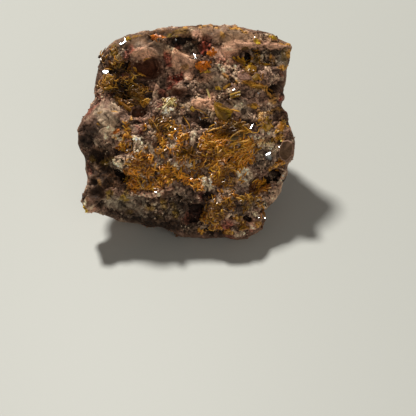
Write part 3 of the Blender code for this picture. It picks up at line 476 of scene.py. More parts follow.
# ---------------------------------------------------------------- meshes
def inside_box(points):
    """The points in mm, held just inside the CAD box."""
    return np.clip(points, np.array(CAD_BOX[0]) / MM + 0.01, np.array(CAD_BOX[1]) / MM - 0.01)


def linked(name, data):
    """A new object of the scene."""
    obj = bpy.data.objects.new(name, data)
    bpy.context.scene.collection.objects.link(obj)
    return obj


def tinted_object(name, points, faces, tints):
    """A mesh object from points in mm, with a colour per point."""
    mesh = bpy.data.meshes.new(name)
    mesh.from_pydata((inside_box(points) * MM).tolist(), [], [list(face) for face in faces])
    set_tints(mesh, tints)
    return linked(name, mesh)


def set_tints(mesh, tints):
    """The colour of each point, for the materials."""
    layer = mesh.color_attributes.new("tint", "FLOAT_COLOR", "POINT")
    held = np.ones((len(tints), 4))
    held[:, :3] = np.clip(tints, 0.0, 1.0)
    layer.data.foreach_set("color", held.ravel())


def rows_of(items, key, width, kind=float):
    """One row of numbers for each of a mesh's items."""
    held = np.empty(len(items) * width, kind)
    items.foreach_get(key, held)
    return held.reshape(-1, width)


def points_of(mesh):
    return rows_of(mesh.vertices, "co", 3)


def normals_of(mesh):
    return rows_of(mesh.vertex_normals, "vector", 3)


def relaxed(points, edges, passes):
    """The points drawn towards the middle of their neighbours."""
    total = len(points)
    count = np.bincount(edges.ravel(), minlength=total).clip(1)[:, None]
    a, b = edges.T
    for _ in range(passes):
        sums = [np.bincount(a, held[b], total) + np.bincount(b, held[a], total) for held in points.T]
        points = 0.5 * points + 0.5 * np.stack(sums, axis=1) / count
    return points


def on_front(mesh):
    """Which points of a mesh look towards the camera and lie on the face."""
    return (normals_of(mesh) @ -VIEW_AWAY > FACE_FROM) & (points_of(mesh) @ OUT > FACE_DEEPEST)


def evaluated(obj):
    """The object's mesh with its modifiers applied. The object goes."""
    bpy.context.view_layer.update()
    mesh = bpy.data.meshes.new_from_object(obj.evaluated_get(bpy.context.evaluated_depsgraph_get()))
    bpy.data.objects.remove(obj)
    return mesh


def fine_rock_mesh():
    """The CAD rock on a fine grid with its facets rounded, finer still on the face. Mesh in mm."""
    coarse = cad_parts["matrix"].data.copy()
    coarse.transform(Matrix.Scale(1.0 / MM, 4))
    helper = linked("helper", coarse)
    remesh = helper.modifiers.new("grid", "REMESH")
    remesh.mode = "VOXEL"
    remesh.voxel_size = GRID
    soften = helper.modifiers.new("soften", "SMOOTH")
    soften.factor = 0.5
    soften.iterations = SOFTENED
    mesh = evaluated(helper)
    behind = ~on_front(mesh)
    helper = linked("helper", mesh)
    helper.vertex_groups.new(name="back").add(np.flatnonzero(behind).tolist(), 1.0, "REPLACE")
    fewer = helper.modifiers.new("fewer", "DECIMATE")
    fewer.vertex_group = "back"
    fewer.ratio = 1.0 - (1.0 - BACK_KEPT_SHARE) * float(behind.mean())
    mesh = evaluated(helper)
    bm = bmesh.new()
    bm.from_mesh(mesh)
    front = on_front(mesh)
    edges = [edge for edge in bm.edges if all(front[vert.index] for vert in edge.verts)]
    bmesh.ops.subdivide_edges(bm, edges=edges, cuts=1, use_grid_fill=True)
    bmesh.ops.triangulate(bm, faces=bm.faces[:])
    bm.to_mesh(mesh)
    bm.free()
    mesh.update()
    return mesh


# ---------------------------------------------------------------- rock
PLATE_CLUMPS = 303  # seed
FIBRE_WAY = unit(ACROSS - UP * 0.9)
FIBRE_STRETCH = 0.82
RELIEF_MEAN = 0.12  # mm, taken off so that the rock stays within the solid
NEAR_PASSES = 6  # of smoothing, that leave the fine hollows out
FAR_PASSES = 60  # and the broad ones
FINE_HOLLOW = 0.10  # mm deep, that is fully dark
BROAD_HOLLOW = 0.45


def fibre_noise(points):
    """Noise drawn out along one way of the face."""
    squeezed = points - FIBRE_WAY * (points @ FIBRE_WAY * FIBRE_STRETCH)[:, None]
    return noise(squeezed, 0.5, 85) + noise(squeezed, 1.1, 86)


def rock_relief(points, view, calm, front):
    """How far each place of the rock stands out from the solid, mm."""
    fineness = 1.0 - 0.88 * calm
    bed = oval_mask(view, CENTRE_BED + LOBE_BED + STRAND_BED, 0.5) * front
    fineness = fineness * (1.0 - 0.55 * bed)
    steady = (1.0 - 0.45 * calm) * (1.0 - 0.4 * bed)
    sugary = 0.55 + 0.45 * oval_mask(view, PALE + GREY + GREY_GREEN, 0.5)
    warp = np.stack([noise(points, 1.5, 22 + axis) for axis in range(3)], axis=1) * 0.45
    lumps = layered(points + warp, 3.6, 21, 4) * 0.40
    big_chip, big_edge = chips(points + warp, 2.9, 51)
    chip, chip_edge = chips(points + warp, 1.35, 61)
    crystal, crystal_edge = chips(points, 0.62, 31)
    grain_first, _, _, _ = cells_of(points, 0.5, 41)
    cracked = smooth_step(-0.3, 0.4, noise(points, 6.0, 72))
    cracks = -0.6 * smooth_step(0.08, 0.0, np.abs(layered(points, 2.0, 71))) * cracked
    vuggy = 0.4 + 0.6 * smooth_step(-0.3, 0.4, noise(points, 7.0, 82))
    holes = -0.45 * smooth_step(0.36, 0.66, noise(points, 1.4, 81)) * vuggy
    small_holes = -0.25 * smooth_step(0.45, 0.8, noise(points, 0.65, 83))
    fibres = 0.16 * fibre_noise(points) * oval_mask(view, FIBRES, 0.5) * front
    shape = (
        lumps * steady
        + big_chip * 0.30 * steady
        - 0.08 * smooth_step(0.10, 0.0, big_edge) * steady
        + fineness * (chip * 0.18 + holes + small_holes)
        - fineness * 0.08 * smooth_step(0.14, 0.0, chip_edge)
        + fineness * sugary * (crystal * 0.09 + (0.5 - grain_first) * 0.10)
        - fineness * sugary * 0.08 * smooth_step(0.2, 0.0, crystal_edge)
        + cracks * (0.35 + 0.65 * fineness)
        + fibres
        + noise(points, 0.3, 91) * 0.04 * fineness
    )
    sunk = oval_mask(view, PITS, 0.5) * front
    raised = oval_mask(view, LUMPS, 0.5) * front
    return shape - sunk + raised - RELIEF_MEAN


def rock_colours(points, view, front, calm, fine_hollow, broad_hollow):
    """The rock's colour at each point: its zones and stains, painted shade in its dark places and hollows, and painted
    highlights on its ridges.
    """
    patches = layered(points, 5.0, 101, 3)
    speckle = layered(points, 0.8, 111, 3)
    fleck = noise(points, 0.32, 121)
    colour = np.tile(np.asarray(MAUVE), (len(points), 1))
    colour = mixed(colour, BROWN, smooth_step(-0.3, 0.8, 0.6 * speckle - patches))
    colour = mixed(colour, PALE_COLOUR, 0.35 * smooth_step(0.3, 1.0, speckle + 0.5 * patches))
    red_noise, ochre_noise, olive_noise = noise(points, 1.0, 131), noise(points, 0.8, 141), noise(points, 0.9, 151)
    zones = (  # where, colour, most of it, and the noise that breaks it up between two values
        (TAN, TAN_COLOUR, 1.0, speckle, -1.6, -0.4),
        (UMBER, UMBER_COLOUR, 1.0, speckle, -1.4, -0.2),
        (GREY, GREY_COLOUR, 0.9, speckle, -1.2, 0.0),
        (WARM, WARM_COLOUR, 0.95, speckle, -1.4, -0.2),
        (PINK, PINK_COLOUR, 0.9, speckle, -1.2, 0.2),
        (PALE, PALE_COLOUR, 0.95, speckle, -0.8, 0.35),
        (BRIGHT_PINK, BRIGHT_PINK_COLOUR, 1.0, speckle, -1.4, -0.2),
        (WHITISH, WHITISH_COLOUR, 1.0, speckle, -0.9, 0.3),
        (GREY_GREEN, GREEN_COLOUR, 0.95, speckle, -0.9, 0.3),
        (RED, RED_COLOUR, 0.95, red_noise, -1.0, 0.1),
        (OCHRE, OCHRE_COLOUR, 0.95, ochre_noise, -1.1, -0.2),
        (OLIVE, OLIVE_COLOUR, 0.95, olive_noise, -1.1, -0.1),
    )
    for where, zone_colour, most, broken, low, high in zones:
        share = np.maximum(smooth_step(low, high, broken), 0.9 * calm)
        colour = mixed(colour, zone_colour, most * oval_mask(view, where) * front * share)
    elsewhere = 1.0 - front
    for stain, most, low, size, seed in (
        (RED_COLOUR, 0.7, 0.4, 3.5, 132), (OCHRE_COLOUR, 0.7, 0.5, 2.2, 142), (PALE_COLOUR, 0.6, 0.4, 4.0, 152)
    ):
        colour = mixed(colour, stain, elsewhere * most * smooth_step(low, 0.95, layered(points, size, seed)))
    bed = oval_mask(view, CENTRE_BED + LOBE_BED + TANGLE_BED + SLOT_BED) * front
    bed = bed * (1.0 - oval_mask(view, BARE_IN_CENTRE))
    gaps = 1.0 - clumps_of(points, PLATE_CLUMPS)
    lit = 1.0 - oval_mask(view, DIM_BED, 0.5)
    colour = mixed(colour, PALE_COLOUR, bed * gaps * lit * 0.6 * smooth_step(-0.6, 0.2, speckle))
    # Painted shade under the clumps of plates, and thinner over the rest of the bed
    broken = smooth_step(-0.8, 0.2, noise(points, 0.8, 161))
    colour = mixed(colour, BED_SHADE_COLOUR, bed * (0.25 + 0.65 * (1.0 - gaps)) * broken)
    # Near-black painted shade in pits, crevices and gaps and on the underside
    dark = oval_mask(view, DARK_AND_SHADED, 0.5) * front
    colour = mixed(colour, SHADE, dark * 0.9 * (0.75 + 0.25 * smooth_step(0.5, -0.5, speckle)))
    # Painted shade in the fine hollows of the rock
    colour = mixed(colour, SHADE, 0.85 * (1.0 - 0.5 * calm) * smooth_step(-0.1, 0.8, fine_hollow))
    # Painted shade in the broad hollows, held back under the ledge and in the recesses that get their own brown painted
    # shade below
    hollow = oval_mask(view, HOLLOW, 0.9) * front
    ledge = oval_mask(view, LEDGE, 0.4) * front
    colour = mixed(colour, SHADE, 0.7 * smooth_step(0.0, 1.0, broad_hollow) * (1.0 - hollow) * (1.0 - 0.8 * ledge))
    colour = mixed(colour, HOLLOW_SHADE_COLOUR, hollow)
    loud = 1.0 - 0.6 * calm
    fibres = 0.35 * fibre_noise(points) * oval_mask(view, FIBRES, 0.5)
    # Painted highlights on the ridges, with the rock's own flecks, speckle and fibres
    bright = np.exp(loud * (0.6 * smooth_step(0.0, -1.0, fine_hollow) + 0.4 * fleck + 0.38 * speckle) + fibres)
    dim = 1.0 - oval_mask(view, DIM_ROCK, 0.6) * front
    return colour * (bright.clip(0.25, 2.6) * dim)[:, None]


def make_rock():
    """The rock piece, with what the rest of the script asks about its surface."""
    mesh = fine_rock_mesh()
    points = points_of(mesh)
    normals = normals_of(mesh)
    facing = normals @ -VIEW_AWAY
    front = smooth_step(-0.15, 0.25, facing)
    wobble = np.stack([layered(points, 2.4, seed) for seed in (11, 12)], axis=1) * 1.6
    wobble += np.stack([noise(points, 0.7, seed) for seed in (13, 14)], axis=1) * 1.2
    plain_view = view_places(points)
    view = plain_view + wobble
    outline = smooth_step(0.42, 0.18, facing) * smooth_step(-0.45, -0.15, facing)
    calm = np.maximum(oval_mask(plain_view, SMOOTH) * front, 0.95 * outline)
    relief = rock_relief(points, view, calm, front)
    moved = inside_box(points + normals * (relief * (0.65 + 0.35 * front))[:, None])
    mesh.vertices.foreach_set("co", moved.ravel())
    mesh.update()
    turned = normals_of(mesh)
    edges = rows_of(mesh.edges, "vertices", 2, np.int64)
    near = relaxed(moved, edges, NEAR_PASSES)
    far = relaxed(near, edges, FAR_PASSES)
    fine_hollow = ((near - moved) * turned).sum(axis=1) / FINE_HOLLOW
    broad_hollow = ((far - near) * turned).sum(axis=1) / BROAD_HOLLOW
    colour = rock_colours(points, view, front, calm, fine_hollow, broad_hollow)

    rock = linked("rock", mesh)
    mesh.vertices.foreach_set("co", (moved * MM).ravel())
    mesh.update()
    mesh.name = "rock"
    mesh.polygons.foreach_set("use_smooth", np.full(len(mesh.polygons), True))
    set_tints(mesh, colour)
    mesh.materials.clear()
    mesh.materials.append(rock_material())
    corners = rows_of(mesh.polygons, "vertices", 3, np.int64)
    return {
        "object": rock, "points": moved, "normals": turned, "colour": colour, "view": view, "front": front,
        "calm": calm, "corners": corners, "out": turned @ OUT,
        "tree": BVHTree.FromPolygons(moved.tolist(), corners.tolist()),
    }


# ---------------------------------------------------------------- materials
def add_node(links, nodes, kind, output, **inputs):
    """A node's output, its inputs set: a socket is linked and a number is filled in."""
    held = nodes.new("ShaderNode" + kind)
    fill(links, held, inputs)
    return held.outputs[output]


def fill(links, node, inputs):
    """Link or set a node's inputs, named with _ for each space."""
    for name, value in inputs.items():
        socket = node.inputs[name.replace("_", " ")]
        if isinstance(value, bpy.types.NodeSocket):
            links.new(value, socket)
        else:
            socket.default_value = value


def new_material(name):
    made = bpy.data.materials.new(name)
    made.use_nodes = True
    tree = made.node_tree
    return made, tree.nodes, tree.links, tree.nodes["Principled BSDF"]


def node_noise(links, nodes, scale, detail, roughness):
    place = add_node(links, nodes, "TexCoord", "Object")
    return add_node(links, nodes, "TexNoise", "Fac", Vector=place, Scale=scale, Detail=detail, Roughness=roughness)


def node_range(links, nodes, source, low, high, to_low, to_high):
    return add_node(
        links, nodes, "MapRange", "Result",
        Value=source, From_Min=low, From_Max=high, To_Min=to_low, To_Max=to_high,
    )


def tinted_material(name, fine_scale, vary, roughness, bump_depth, **sockets):
    """Colour from the mesh, broken up by fine noise that also drives the gloss and the bump."""
    made, nodes, links, shader = new_material(name)
    tint = nodes.new("ShaderNodeAttribute")
    tint.attribute_name = "tint"
    fine = node_noise(links, nodes, fine_scale, 4.0, 0.7)
    scaled = nodes.new("ShaderNodeVectorMath")
    scaled.operation = "SCALE"
    links.new(tint.outputs["Color"], scaled.inputs[0])
    links.new(node_range(links, nodes, fine, 0.3, 0.7, 1.0 - vary, 1.0 + vary), scaled.inputs["Scale"])
    gloss = node_noise(links, nodes, fine_scale * 0.45, 3.0, 0.6)
    finer = node_noise(links, nodes, fine_scale * 2.8, 2.0, 0.6)
    bump = add_node(links, nodes, "Bump", "Normal", Height=fine, Strength=0.7, Distance=bump_depth)
    bump = add_node(links, nodes, "Bump", "Normal", Height=finer, Strength=0.4, Distance=bump_depth * 0.35, Normal=bump)
    gloss = node_range(links, nodes, gloss, 0.35, 0.65, roughness[1], roughness[0])
    fill(links, shader, dict(sockets, Base_Color=scaled.outputs["Vector"], Roughness=gloss, Normal=bump))
    return made


def rock_material():
    return tinted_material("rock", 3200.0, 0.42, (0.5, 0.95), 0.00016, Specular_IOR_Level=0.22)


def crystal_material(name):
    """Wulfenite: resinous, a little see-through."""
    sockets = dict(IOR=1.6, Specular_IOR_Level=0.3, Transmission_Weight=0.1)
    return tinted_material(name, 2600.0, 0.3, (0.216, 0.576), 0.00005, **sockets)


# ---------------------------------------------------------------- what grows on the rock
PLATE_FOOT = 0.35  # mm of each plate inside the rock
BRIGHTEST_TINT = 0.72
DRUSE_RAISED = -0.08  # middle of a fine crystal above the rock, in its own sizes


def surface_samples(rock, weights, count, seed):
    """Places on the rock chosen by area and weight, with their normals and the rock's colour there."""
    a, b, c = (rock["points"][rock["corners"][:, i]] for i in range(3))
    area = np.linalg.norm(np.cross(b - a, c - a), axis=1) / 2
    sums = np.cumsum(area * weights[rock["corners"]].mean(axis=1))
    rng = np.random.default_rng(seed)
    picked = np.searchsorted(sums, rng.random(count) * sums[-1])
    u, v = rng.random(count), rng.random(count)
    flip = u + v > 1.0
    u[flip], v[flip] = 1.0 - u[flip], 1.0 - v[flip]
    shares = np.stack([1.0 - u - v, u, v], axis=1)[:, :, None]
    held = rock["corners"][picked]
    place = (rock["points"][held] * shares).sum(axis=1)
    normal = unit((rock["normals"][held] * shares).sum(axis=1))
    colour = (rock["colour"][held] * shares).sum(axis=1)
    return place, normal, colour, rng


def patchy_tints(place, tints, rng, gain=1.0):
    """A colour for each place that its neighbours mostly share, dimmer in the dim places. The dim ones are redder."""
    count = len(place)
    which = (noise(place, 1.7, 501) * 0.5 + 0.5 + rng.normal(0.0, 0.16, count)).clip(0.0, 0.999)
    bright = np.exp(0.75 * noise(place, 1.3, 502) + rng.normal(0.0, 0.38, count)).clip(0.2, 1.6)
    dim = 1.0 - 0.72 * oval_mask(view_places(place), DIM_BED, 0.5)
    colour = np.asarray(tints)[(which * len(tints)).astype(int)] * (bright * dim * gain)[:, None]
    colour[:, 1] *= bright**0.22
    return colour * np.minimum(1.0, BRIGHTEST_TINT / colour.max(axis=1))[:, None]


def four_sided(rings):
    """Faces of a bar whose points come in rings of four, closed at both ends."""
    quads = [(3, 2, 1, 0), tuple(4 * rings - 4 + k for k in range(4))]
    for start in range(0, 4 * rings - 4, 4):
        for k in range(4):
            after = (k + 1) % 4
            quads.append((start + k, start + after, start + 4 + after, start + 4 + k))
    return np.array(quads)


def make_plates(name, place, normal, rng, length, height, thick, turns, spread, tilt, tints, bend=0.2, steps=4):
    """Thin plates that stand on the rock on edge, as one mesh. Lengths in mm, turns in degrees of the face."""
    count = len(place)
    angle = np.radians(rng.choice(turns, count) + rng.normal(0.0, spread, count))
    along = ACROSS * np.cos(angle)[:, None] + UP * np.sin(angle)[:, None]
    stand = unit(unit(normal + OUT * 0.7) + rng.normal(0.0, tilt, (count, 3)))
    along = unit(along - stand * (along * stand).sum(axis=1)[:, None])
    side = np.cross(along, stand)
    size = rng.beta(1.6, 2.6, count)
    long = length[0] + (length[1] - length[0]) * size
    tall = (height[0] + (height[1] - height[0]) * rng.random(count)) * (0.6 + 0.7 * size)
    wide = thick[0] + (thick[1] - thick[0]) * rng.random(count)
    curve = rng.normal(0.0, bend, count) * long
    lean = rng.normal(0.0, 0.18, count)
    body = patchy_tints(place, tints, rng)
    points, tint = [], []
    for step in range(steps + 1):
        s = step / steps * 2.0 - 1.0
        end = 1.0 - 0.35 * abs(s) ** 5
        middle = place + along * (long * s / 2)[:, None] + side * (curve * (s * s - 0.4))[:, None]
        top = tall * (end + lean * s)
        foot = np.full(count, -PLATE_FOOT)
        # Each plate is painted near-black at its foot as painted shade, and lighter along its top edge as a painted
        # highlight
        for level, across, shade in ((foot, -0.5, 0.02), (foot, 0.5, 0.02), (top, 0.42, 1.35), (top, -0.42, 1.35)):
            points.append(middle + stand * level[:, None] + side * (wide * across * (0.35 + 0.65 * end))[:, None])
            tint.append(body * shade)
    points = np.stack(points, axis=1)
    quads = four_sided(steps + 1)[None] + (np.arange(count) * points.shape[1])[:, None, None]
    return tinted_object(name, points.reshape(-1, 3), quads.reshape(-1, 4), np.stack(tint, axis=1).reshape(-1, 3))


def clumps_of(points, seed):
    """Where plates crowd together, from 0 to 1."""
    return smooth_step(-0.3, 0.35, noise(points, 1.7, seed) + 0.4 * noise(points, 0.7, seed + 1))


def bed_weights(rock, where, bare, seed, clump=0.88):
    """How closely plates stand at each point of the rock: in clumps, inside the ovals, and on what looks out."""
    points = rock["points"]
    wobble = np.stack([noise(points, 1.3, seed), noise(points, 1.3, seed + 1)], axis=1) * 2.0
    view = view_places(points) + wobble
    weights = oval_mask(view, where, 0.5) * (rock["out"] > -0.1)
    if bare:
        weights = weights * (1.0 - oval_mask(view, bare))
    clumps = clumps_of(points, PLATE_CLUMPS)
    return weights * (1.0 - clump + clump * clumps)


def grow(rock, name, where, bare, count, seed, **shape):
    place, normal, _, rng = surface_samples(rock, bed_weights(rock, where, bare, seed), count, seed)
    return make_plates(name, place, normal, rng, **shape)


CUBE_CORNERS = np.array(list(itertools.product((-0.5, 0.5), repeat=3)))
CUBE_FACES = np.array([(0, 1, 3, 2), (4, 6, 7, 5), (0, 4, 5, 1), (2, 3, 7, 6), (0, 2, 6, 4), (1, 5, 7, 3)])


def random_turns(rng, count):
    """Rotation matrices of evenly spread random turns."""
    w, x, y, z = unit(rng.normal(size=(count, 4))).T
    rows = (
        (1 - 2 * (y * y + z * z), 2 * (x * y - z * w), 2 * (x * z + y * w)),
        (2 * (x * y + z * w), 1 - 2 * (x * x + z * z), 2 * (y * z - x * w)),
        (2 * (x * z - y * w), 2 * (y * z + x * w), 1 - 2 * (x * x + y * y)),
    )
    return np.array(rows).transpose(2, 0, 1)


def make_grains(name, place, normal, colour, rng, size, raised, vary):
    """Small blocky crystals half sunk in the rock, as one mesh."""
    count = len(place)
    scale = (size[0] + (size[1] - size[0]) * rng.beta(1.4, 2.8, count))[:, None]
    shape = CUBE_CORNERS[None] * rng.uniform(0.55, 1.25, (count, 1, 3)) + rng.normal(0.0, 0.14, (count, 8, 3))
    shape[:, :, 0] += shape[:, :, 1] * rng.uniform(-0.35, 0.35, (count, 1))
    turned = np.einsum("nij,nkj->nki", random_turns(rng, count), shape) * scale[:, None]
    points = turned + (place + normal * raised * scale)[:, None]
    faces = CUBE_FACES[None] + (np.arange(count) * 8)[:, None, None]
    tint = np.repeat((colour * rng.uniform(vary[0], vary[1], (count, 1)))[:, None], 8, axis=1)
    tint = tint * rng.uniform(0.85, 1.15, (count, 8, 1))
    return tinted_object(name, points.reshape(-1, 3), faces.reshape(-1, 4), tint.reshape(-1, 3))


def make_druse(rock):
    """The fine crystals that line most of the face, and a thinner scatter on the rest."""
    facing = smooth_step(0.35, 0.6, rock["normals"] @ -VIEW_AWAY)
    face = facing * (1.0 - 0.98 * smooth_step(0.1, 0.5, rock["calm"]))
    sugary = oval_mask(rock["view"], PALE + GREY + GREY_GREEN, 0.5)
    face = face * (0.25 * smooth_step(-0.3, 0.4, noise(rock["points"], 3.0, 201)) + sugary)
    place, normal, colour, rng = surface_samples(rock, face, 6000, 211)
    kind = rng.random(len(place))
    light = np.asarray(PALE_COLOUR) * 0.55
    colour = np.where((kind < 0.10)[:, None], colour * 0.5 + light, colour * 1.1 + 0.006)
    colour = np.where((kind > 0.93)[:, None], np.asarray(BROWN) * 0.6, colour)
    grains = make_grains("druse_face", place, normal, colour, rng, (0.18, 0.44), DRUSE_RAISED, (0.6, 1.6))
    rest = smooth_step(-0.12, -0.35, rock["normals"] @ -VIEW_AWAY) * (rock["points"][:, 2] > 0.6)
    rest = rest * smooth_step(-0.2, 0.5, noise(rock["points"], 4.0, 202))
    place, normal, colour, rng = surface_samples(rock, rest, 6000, 221)
    more = make_grains("druse_back", place, normal, colour * 1.05 + 0.004, rng, (0.2, 0.7), DRUSE_RAISED, (0.65, 1.5))
    return grains, more


def make_bed_grains(rock):
    """Blocky wulfenite between the plates."""
    weights = bed_weights(rock, CENTRE_BED + LOBE_BED + TANGLE_BED, BARE_IN_CENTRE, 251, 0.95)
    place, normal, _, rng = surface_samples(rock, weights, 1000, 252)
    colour = patchy_tints(place, ORANGE + GOLDEN, rng)
    return make_grains("wulfenite_crumbs", place, normal, colour, rng, (0.25, 0.65), 0.2, (0.7, 1.2))


GRAIN_TINTS = {
    "orange_grains": ((0.85, 0.25, 0.012), (0.62, 0.17, 0.01)),
    "yellow_grains": ((0.82, 0.54, 0.04), (0.50, 0.29, 0.02)),
}


def make_coloured_grains(rock, name, where, count, seed, size):
    place, normal, _, rng = surface_samples(rock, oval_mask(rock["view"], where, 0.3) * rock["front"], count, seed)
    colour = np.asarray(GRAIN_TINTS[name])[rng.integers(0, len(GRAIN_TINTS[name]), count)]
    return make_grains(name, place, normal, colour, rng, size, 0.2, (0.6, 1.3))


# ---------------------------------------------------------------- strands
WALK_STEP = 0.3  # mm


def walk(rock, start, heading, length, turn, rng, lift):
    """A line that keeps to the rock: points in mm, from a start, heading in degrees of the face."""
    place = Vector(start)
    angle = math.radians(heading)
    drift = rng.normal(0.0, turn)
    points = []
    for _ in range(max(3, int(length / WALK_STEP))):
        found, normal, _, _ = rock["tree"].find_nearest(place)
        points.append(found + normal.lerp(Vector(OUT), 0.5) * lift)
        place = found + Vector(ACROSS * math.cos(angle) + UP * math.sin(angle)) * WALK_STEP
        drift = 0.7 * drift + rng.normal(0.0, turn)
        angle += drift
    return np.array(points)


def tube(points, radius, colour):
    """A thin flattened strand, four-sided, drawn to a point at both ends."""
    along = unit(np.gradient(points, axis=0))
    side = unit(np.cross(along, OUT))
    up = np.cross(side, along)
    count = len(points)
    share = np.linspace(0.0, 1.0, count)
    thick = radius * (0.25 + 0.75 * np.sin(math.pi * share.clip(0.03, 0.97)) ** 0.5)
    ways = ((1.0, 0.0), (0.0, 1.2), (-1.0, 0.0), (0.0, -1.2))
    rings = np.stack([points + (side * a + up * b) * thick[:, None] for a, b in ways], axis=1)
    # Painted highlight on the strand's outer side, and painted shade on its other sides, most on the side against the
    # rock
    shades = np.array((0.8, 1.35, 0.8, 0.3))[None, :, None] * np.asarray(colour)
    return rings.reshape(-1, 3), four_sided(count), np.repeat(shades, count, axis=0).reshape(-1, 3)


def joined(name, parts):
    """One object from many (points, faces, colours), where faces may have any number of corners."""
    points, faces, colours, start = [], [], [], 0
    for held_points, held_faces, held_colours in parts:
        points.append(held_points)
        colours.append(held_colours)
        faces.extend([tuple(int(corner) + start for corner in face) for face in held_faces])
        start += len(held_points)
    return tinted_object(name, np.concatenate(points), faces, np.concatenate(colours))


# Long strands that stand out: view places along each, and its half thickness in mm
LONG_STRANDS = (
    (((241, 122), (243.5, 126), (247, 129.5), (252.5, 133), (256.5, 133)), 0.15),
    (((258.8, 129.5), (258.6, 131.5), (257, 133.2)), 0.12),
    (((229, 139.5), (233, 135.5), (237, 132.5), (243, 130.5), (248, 130)), 0.17),
    (((208, 132), (213, 129.5), (220, 128), (226, 124), (229, 121)), 0.17),
    (((209, 127.5), (213, 125.5), (218, 124.5)), 0.13),
    (((208, 137), (215, 138.5), (222, 137), (226, 135)), 0.16),
    (((213, 144), (218, 141), (224, 144.5), (228, 147.5)), 0.17),
    (((230, 144), (238, 142), (246, 141.5), (250, 140)), 0.17),
    (((230, 149), (238, 149.5), (246, 147.5), (252, 146)), 0.15),
    (((215, 146), (216, 142), (220, 140)), 0.13),
    (((228, 166), (233, 170), (238, 173)), 0.10),
    (((183, 116), (186, 120.5), (189, 125), (190, 130)), 0.09),
    (((193.5, 109), (199, 110.5), (204, 113), (207.5, 116)), 0.08),
    (((230.5, 109.5), (235, 111), (240, 111.8)), 0.13),
    (((214, 101), (216, 104), (219, 106)), 0.10),
    (((210.5, 150), (212.5, 154), (213.2, 159)), 0.09),
    (((200.5, 118.8), (205, 118.2), (209, 118)), 0.10),
    (((150, 118.5), (154, 123), (157, 128), (160, 132)), 0.11),
    (((255, 190), (261, 190.5), (267, 188.5), (271, 187.5)), 0.14),
    (((236, 197.5), (240, 198.5), (244, 200.5)), 0.14),
)


def on_rock(rock, x, y):
    """Where the rock is seen at a view place, and its normal there."""
    found, normal, _, _ = rock["tree"].ray_cast(Vector(CAMERA_PLACE), Vector(view_ray(x, y)))
    if found is None:
        raise ValueError(f"the rock isn't at {x}, {y}")
    return np.array(found), np.array(normal)


def make_strands(rock):
    """The long strands in their own places, and random ones in two beds."""
    parts = []
    rng = np.random.default_rng(401)
    golden = np.asarray(ORANGE[3])
    for path, radius in LONG_STRANDS:
        places = np.array([on_rock(rock, x, y)[0] for x, y in path])
        share = np.linspace(0, len(path) - 1, len(path) * 4)
        line = np.stack([np.interp(share, range(len(path)), places[:, axis]) for axis in range(3)], axis=1)
        arch = np.sin(np.linspace(0.0, math.pi, len(line)))[:, None]
        parts.append(tube(line + OUT * (0.3 + 0.4 * arch), radius * 1.1, golden * rng.uniform(0.55, 1.0)))
    kinds = (  # where, seed, count, half thickness, how much they turn, how high they stand, colours, their gain
        (STRAND_BED, 411, 230, (0.14, 0.22), 0.08, (0.3, 0.7), ORANGE, 1.0),
        (TANGLE_BED, 421, 170, (0.08, 0.13), 0.22, (0.2, 0.9), GOLDEN, 1.7),
    )
    for where, seed, count, thick, turn, lift, tones, gain in kinds:
        place, _, _, _ = surface_samples(rock, bed_weights(rock, where, (), seed, 0.85), count, seed)
        bundles = 20.0 + 60.0 * noise(place, 2.6, seed + 1)
        tints = patchy_tints(place, tones, rng, gain)
        for start, heading, tint in zip(place, bundles, tints):
            heading = heading + rng.normal(0.0, 45.0)
            points = walk(rock, start, heading, rng.uniform(1.0, 2.7), turn, rng, rng.uniform(*lift))
            parts.append(tube(points, rng.uniform(*thick), tint))
    return joined("wulfenite_strands", parts)


# ---------------------------------------------------------------- single crystals and fragments
UP_LEAN = (0.0, 0.0, 0.5)  # tips a face up from the rock's own way
GLINT = "glint"  # a lean that throws the main light back to the camera
GLINT_WIDE = 1.05  # px
# The colour of the painted glints
WHITE = (0.97, 0.97, 0.95)
PLAIN_GLINT = (0.2, 0.15, WHITE)  # thickness, lift and colour
# Colours of single crystals and of their edges
GOLD = (0.50, 0.235, 0.012)
GOLD_EDGE = (0.70, 0.38, 0.04)
YELLOW = (0.70, 0.37, 0.015)
YELLOW_EDGE = (0.80, 0.52, 0.05)
AMBER = (0.46, 0.18, 0.012)
AMBER_EDGE = (0.60, 0.29, 0.03)
OLIVE_GOLD = (0.31, 0.155, 0.008)
OLIVE_EDGE = (0.56, 0.31, 0.03)
PALE_YELLOW = (0.72, 0.56, 0.20)
PALE_EDGE = (0.82, 0.70, 0.36)

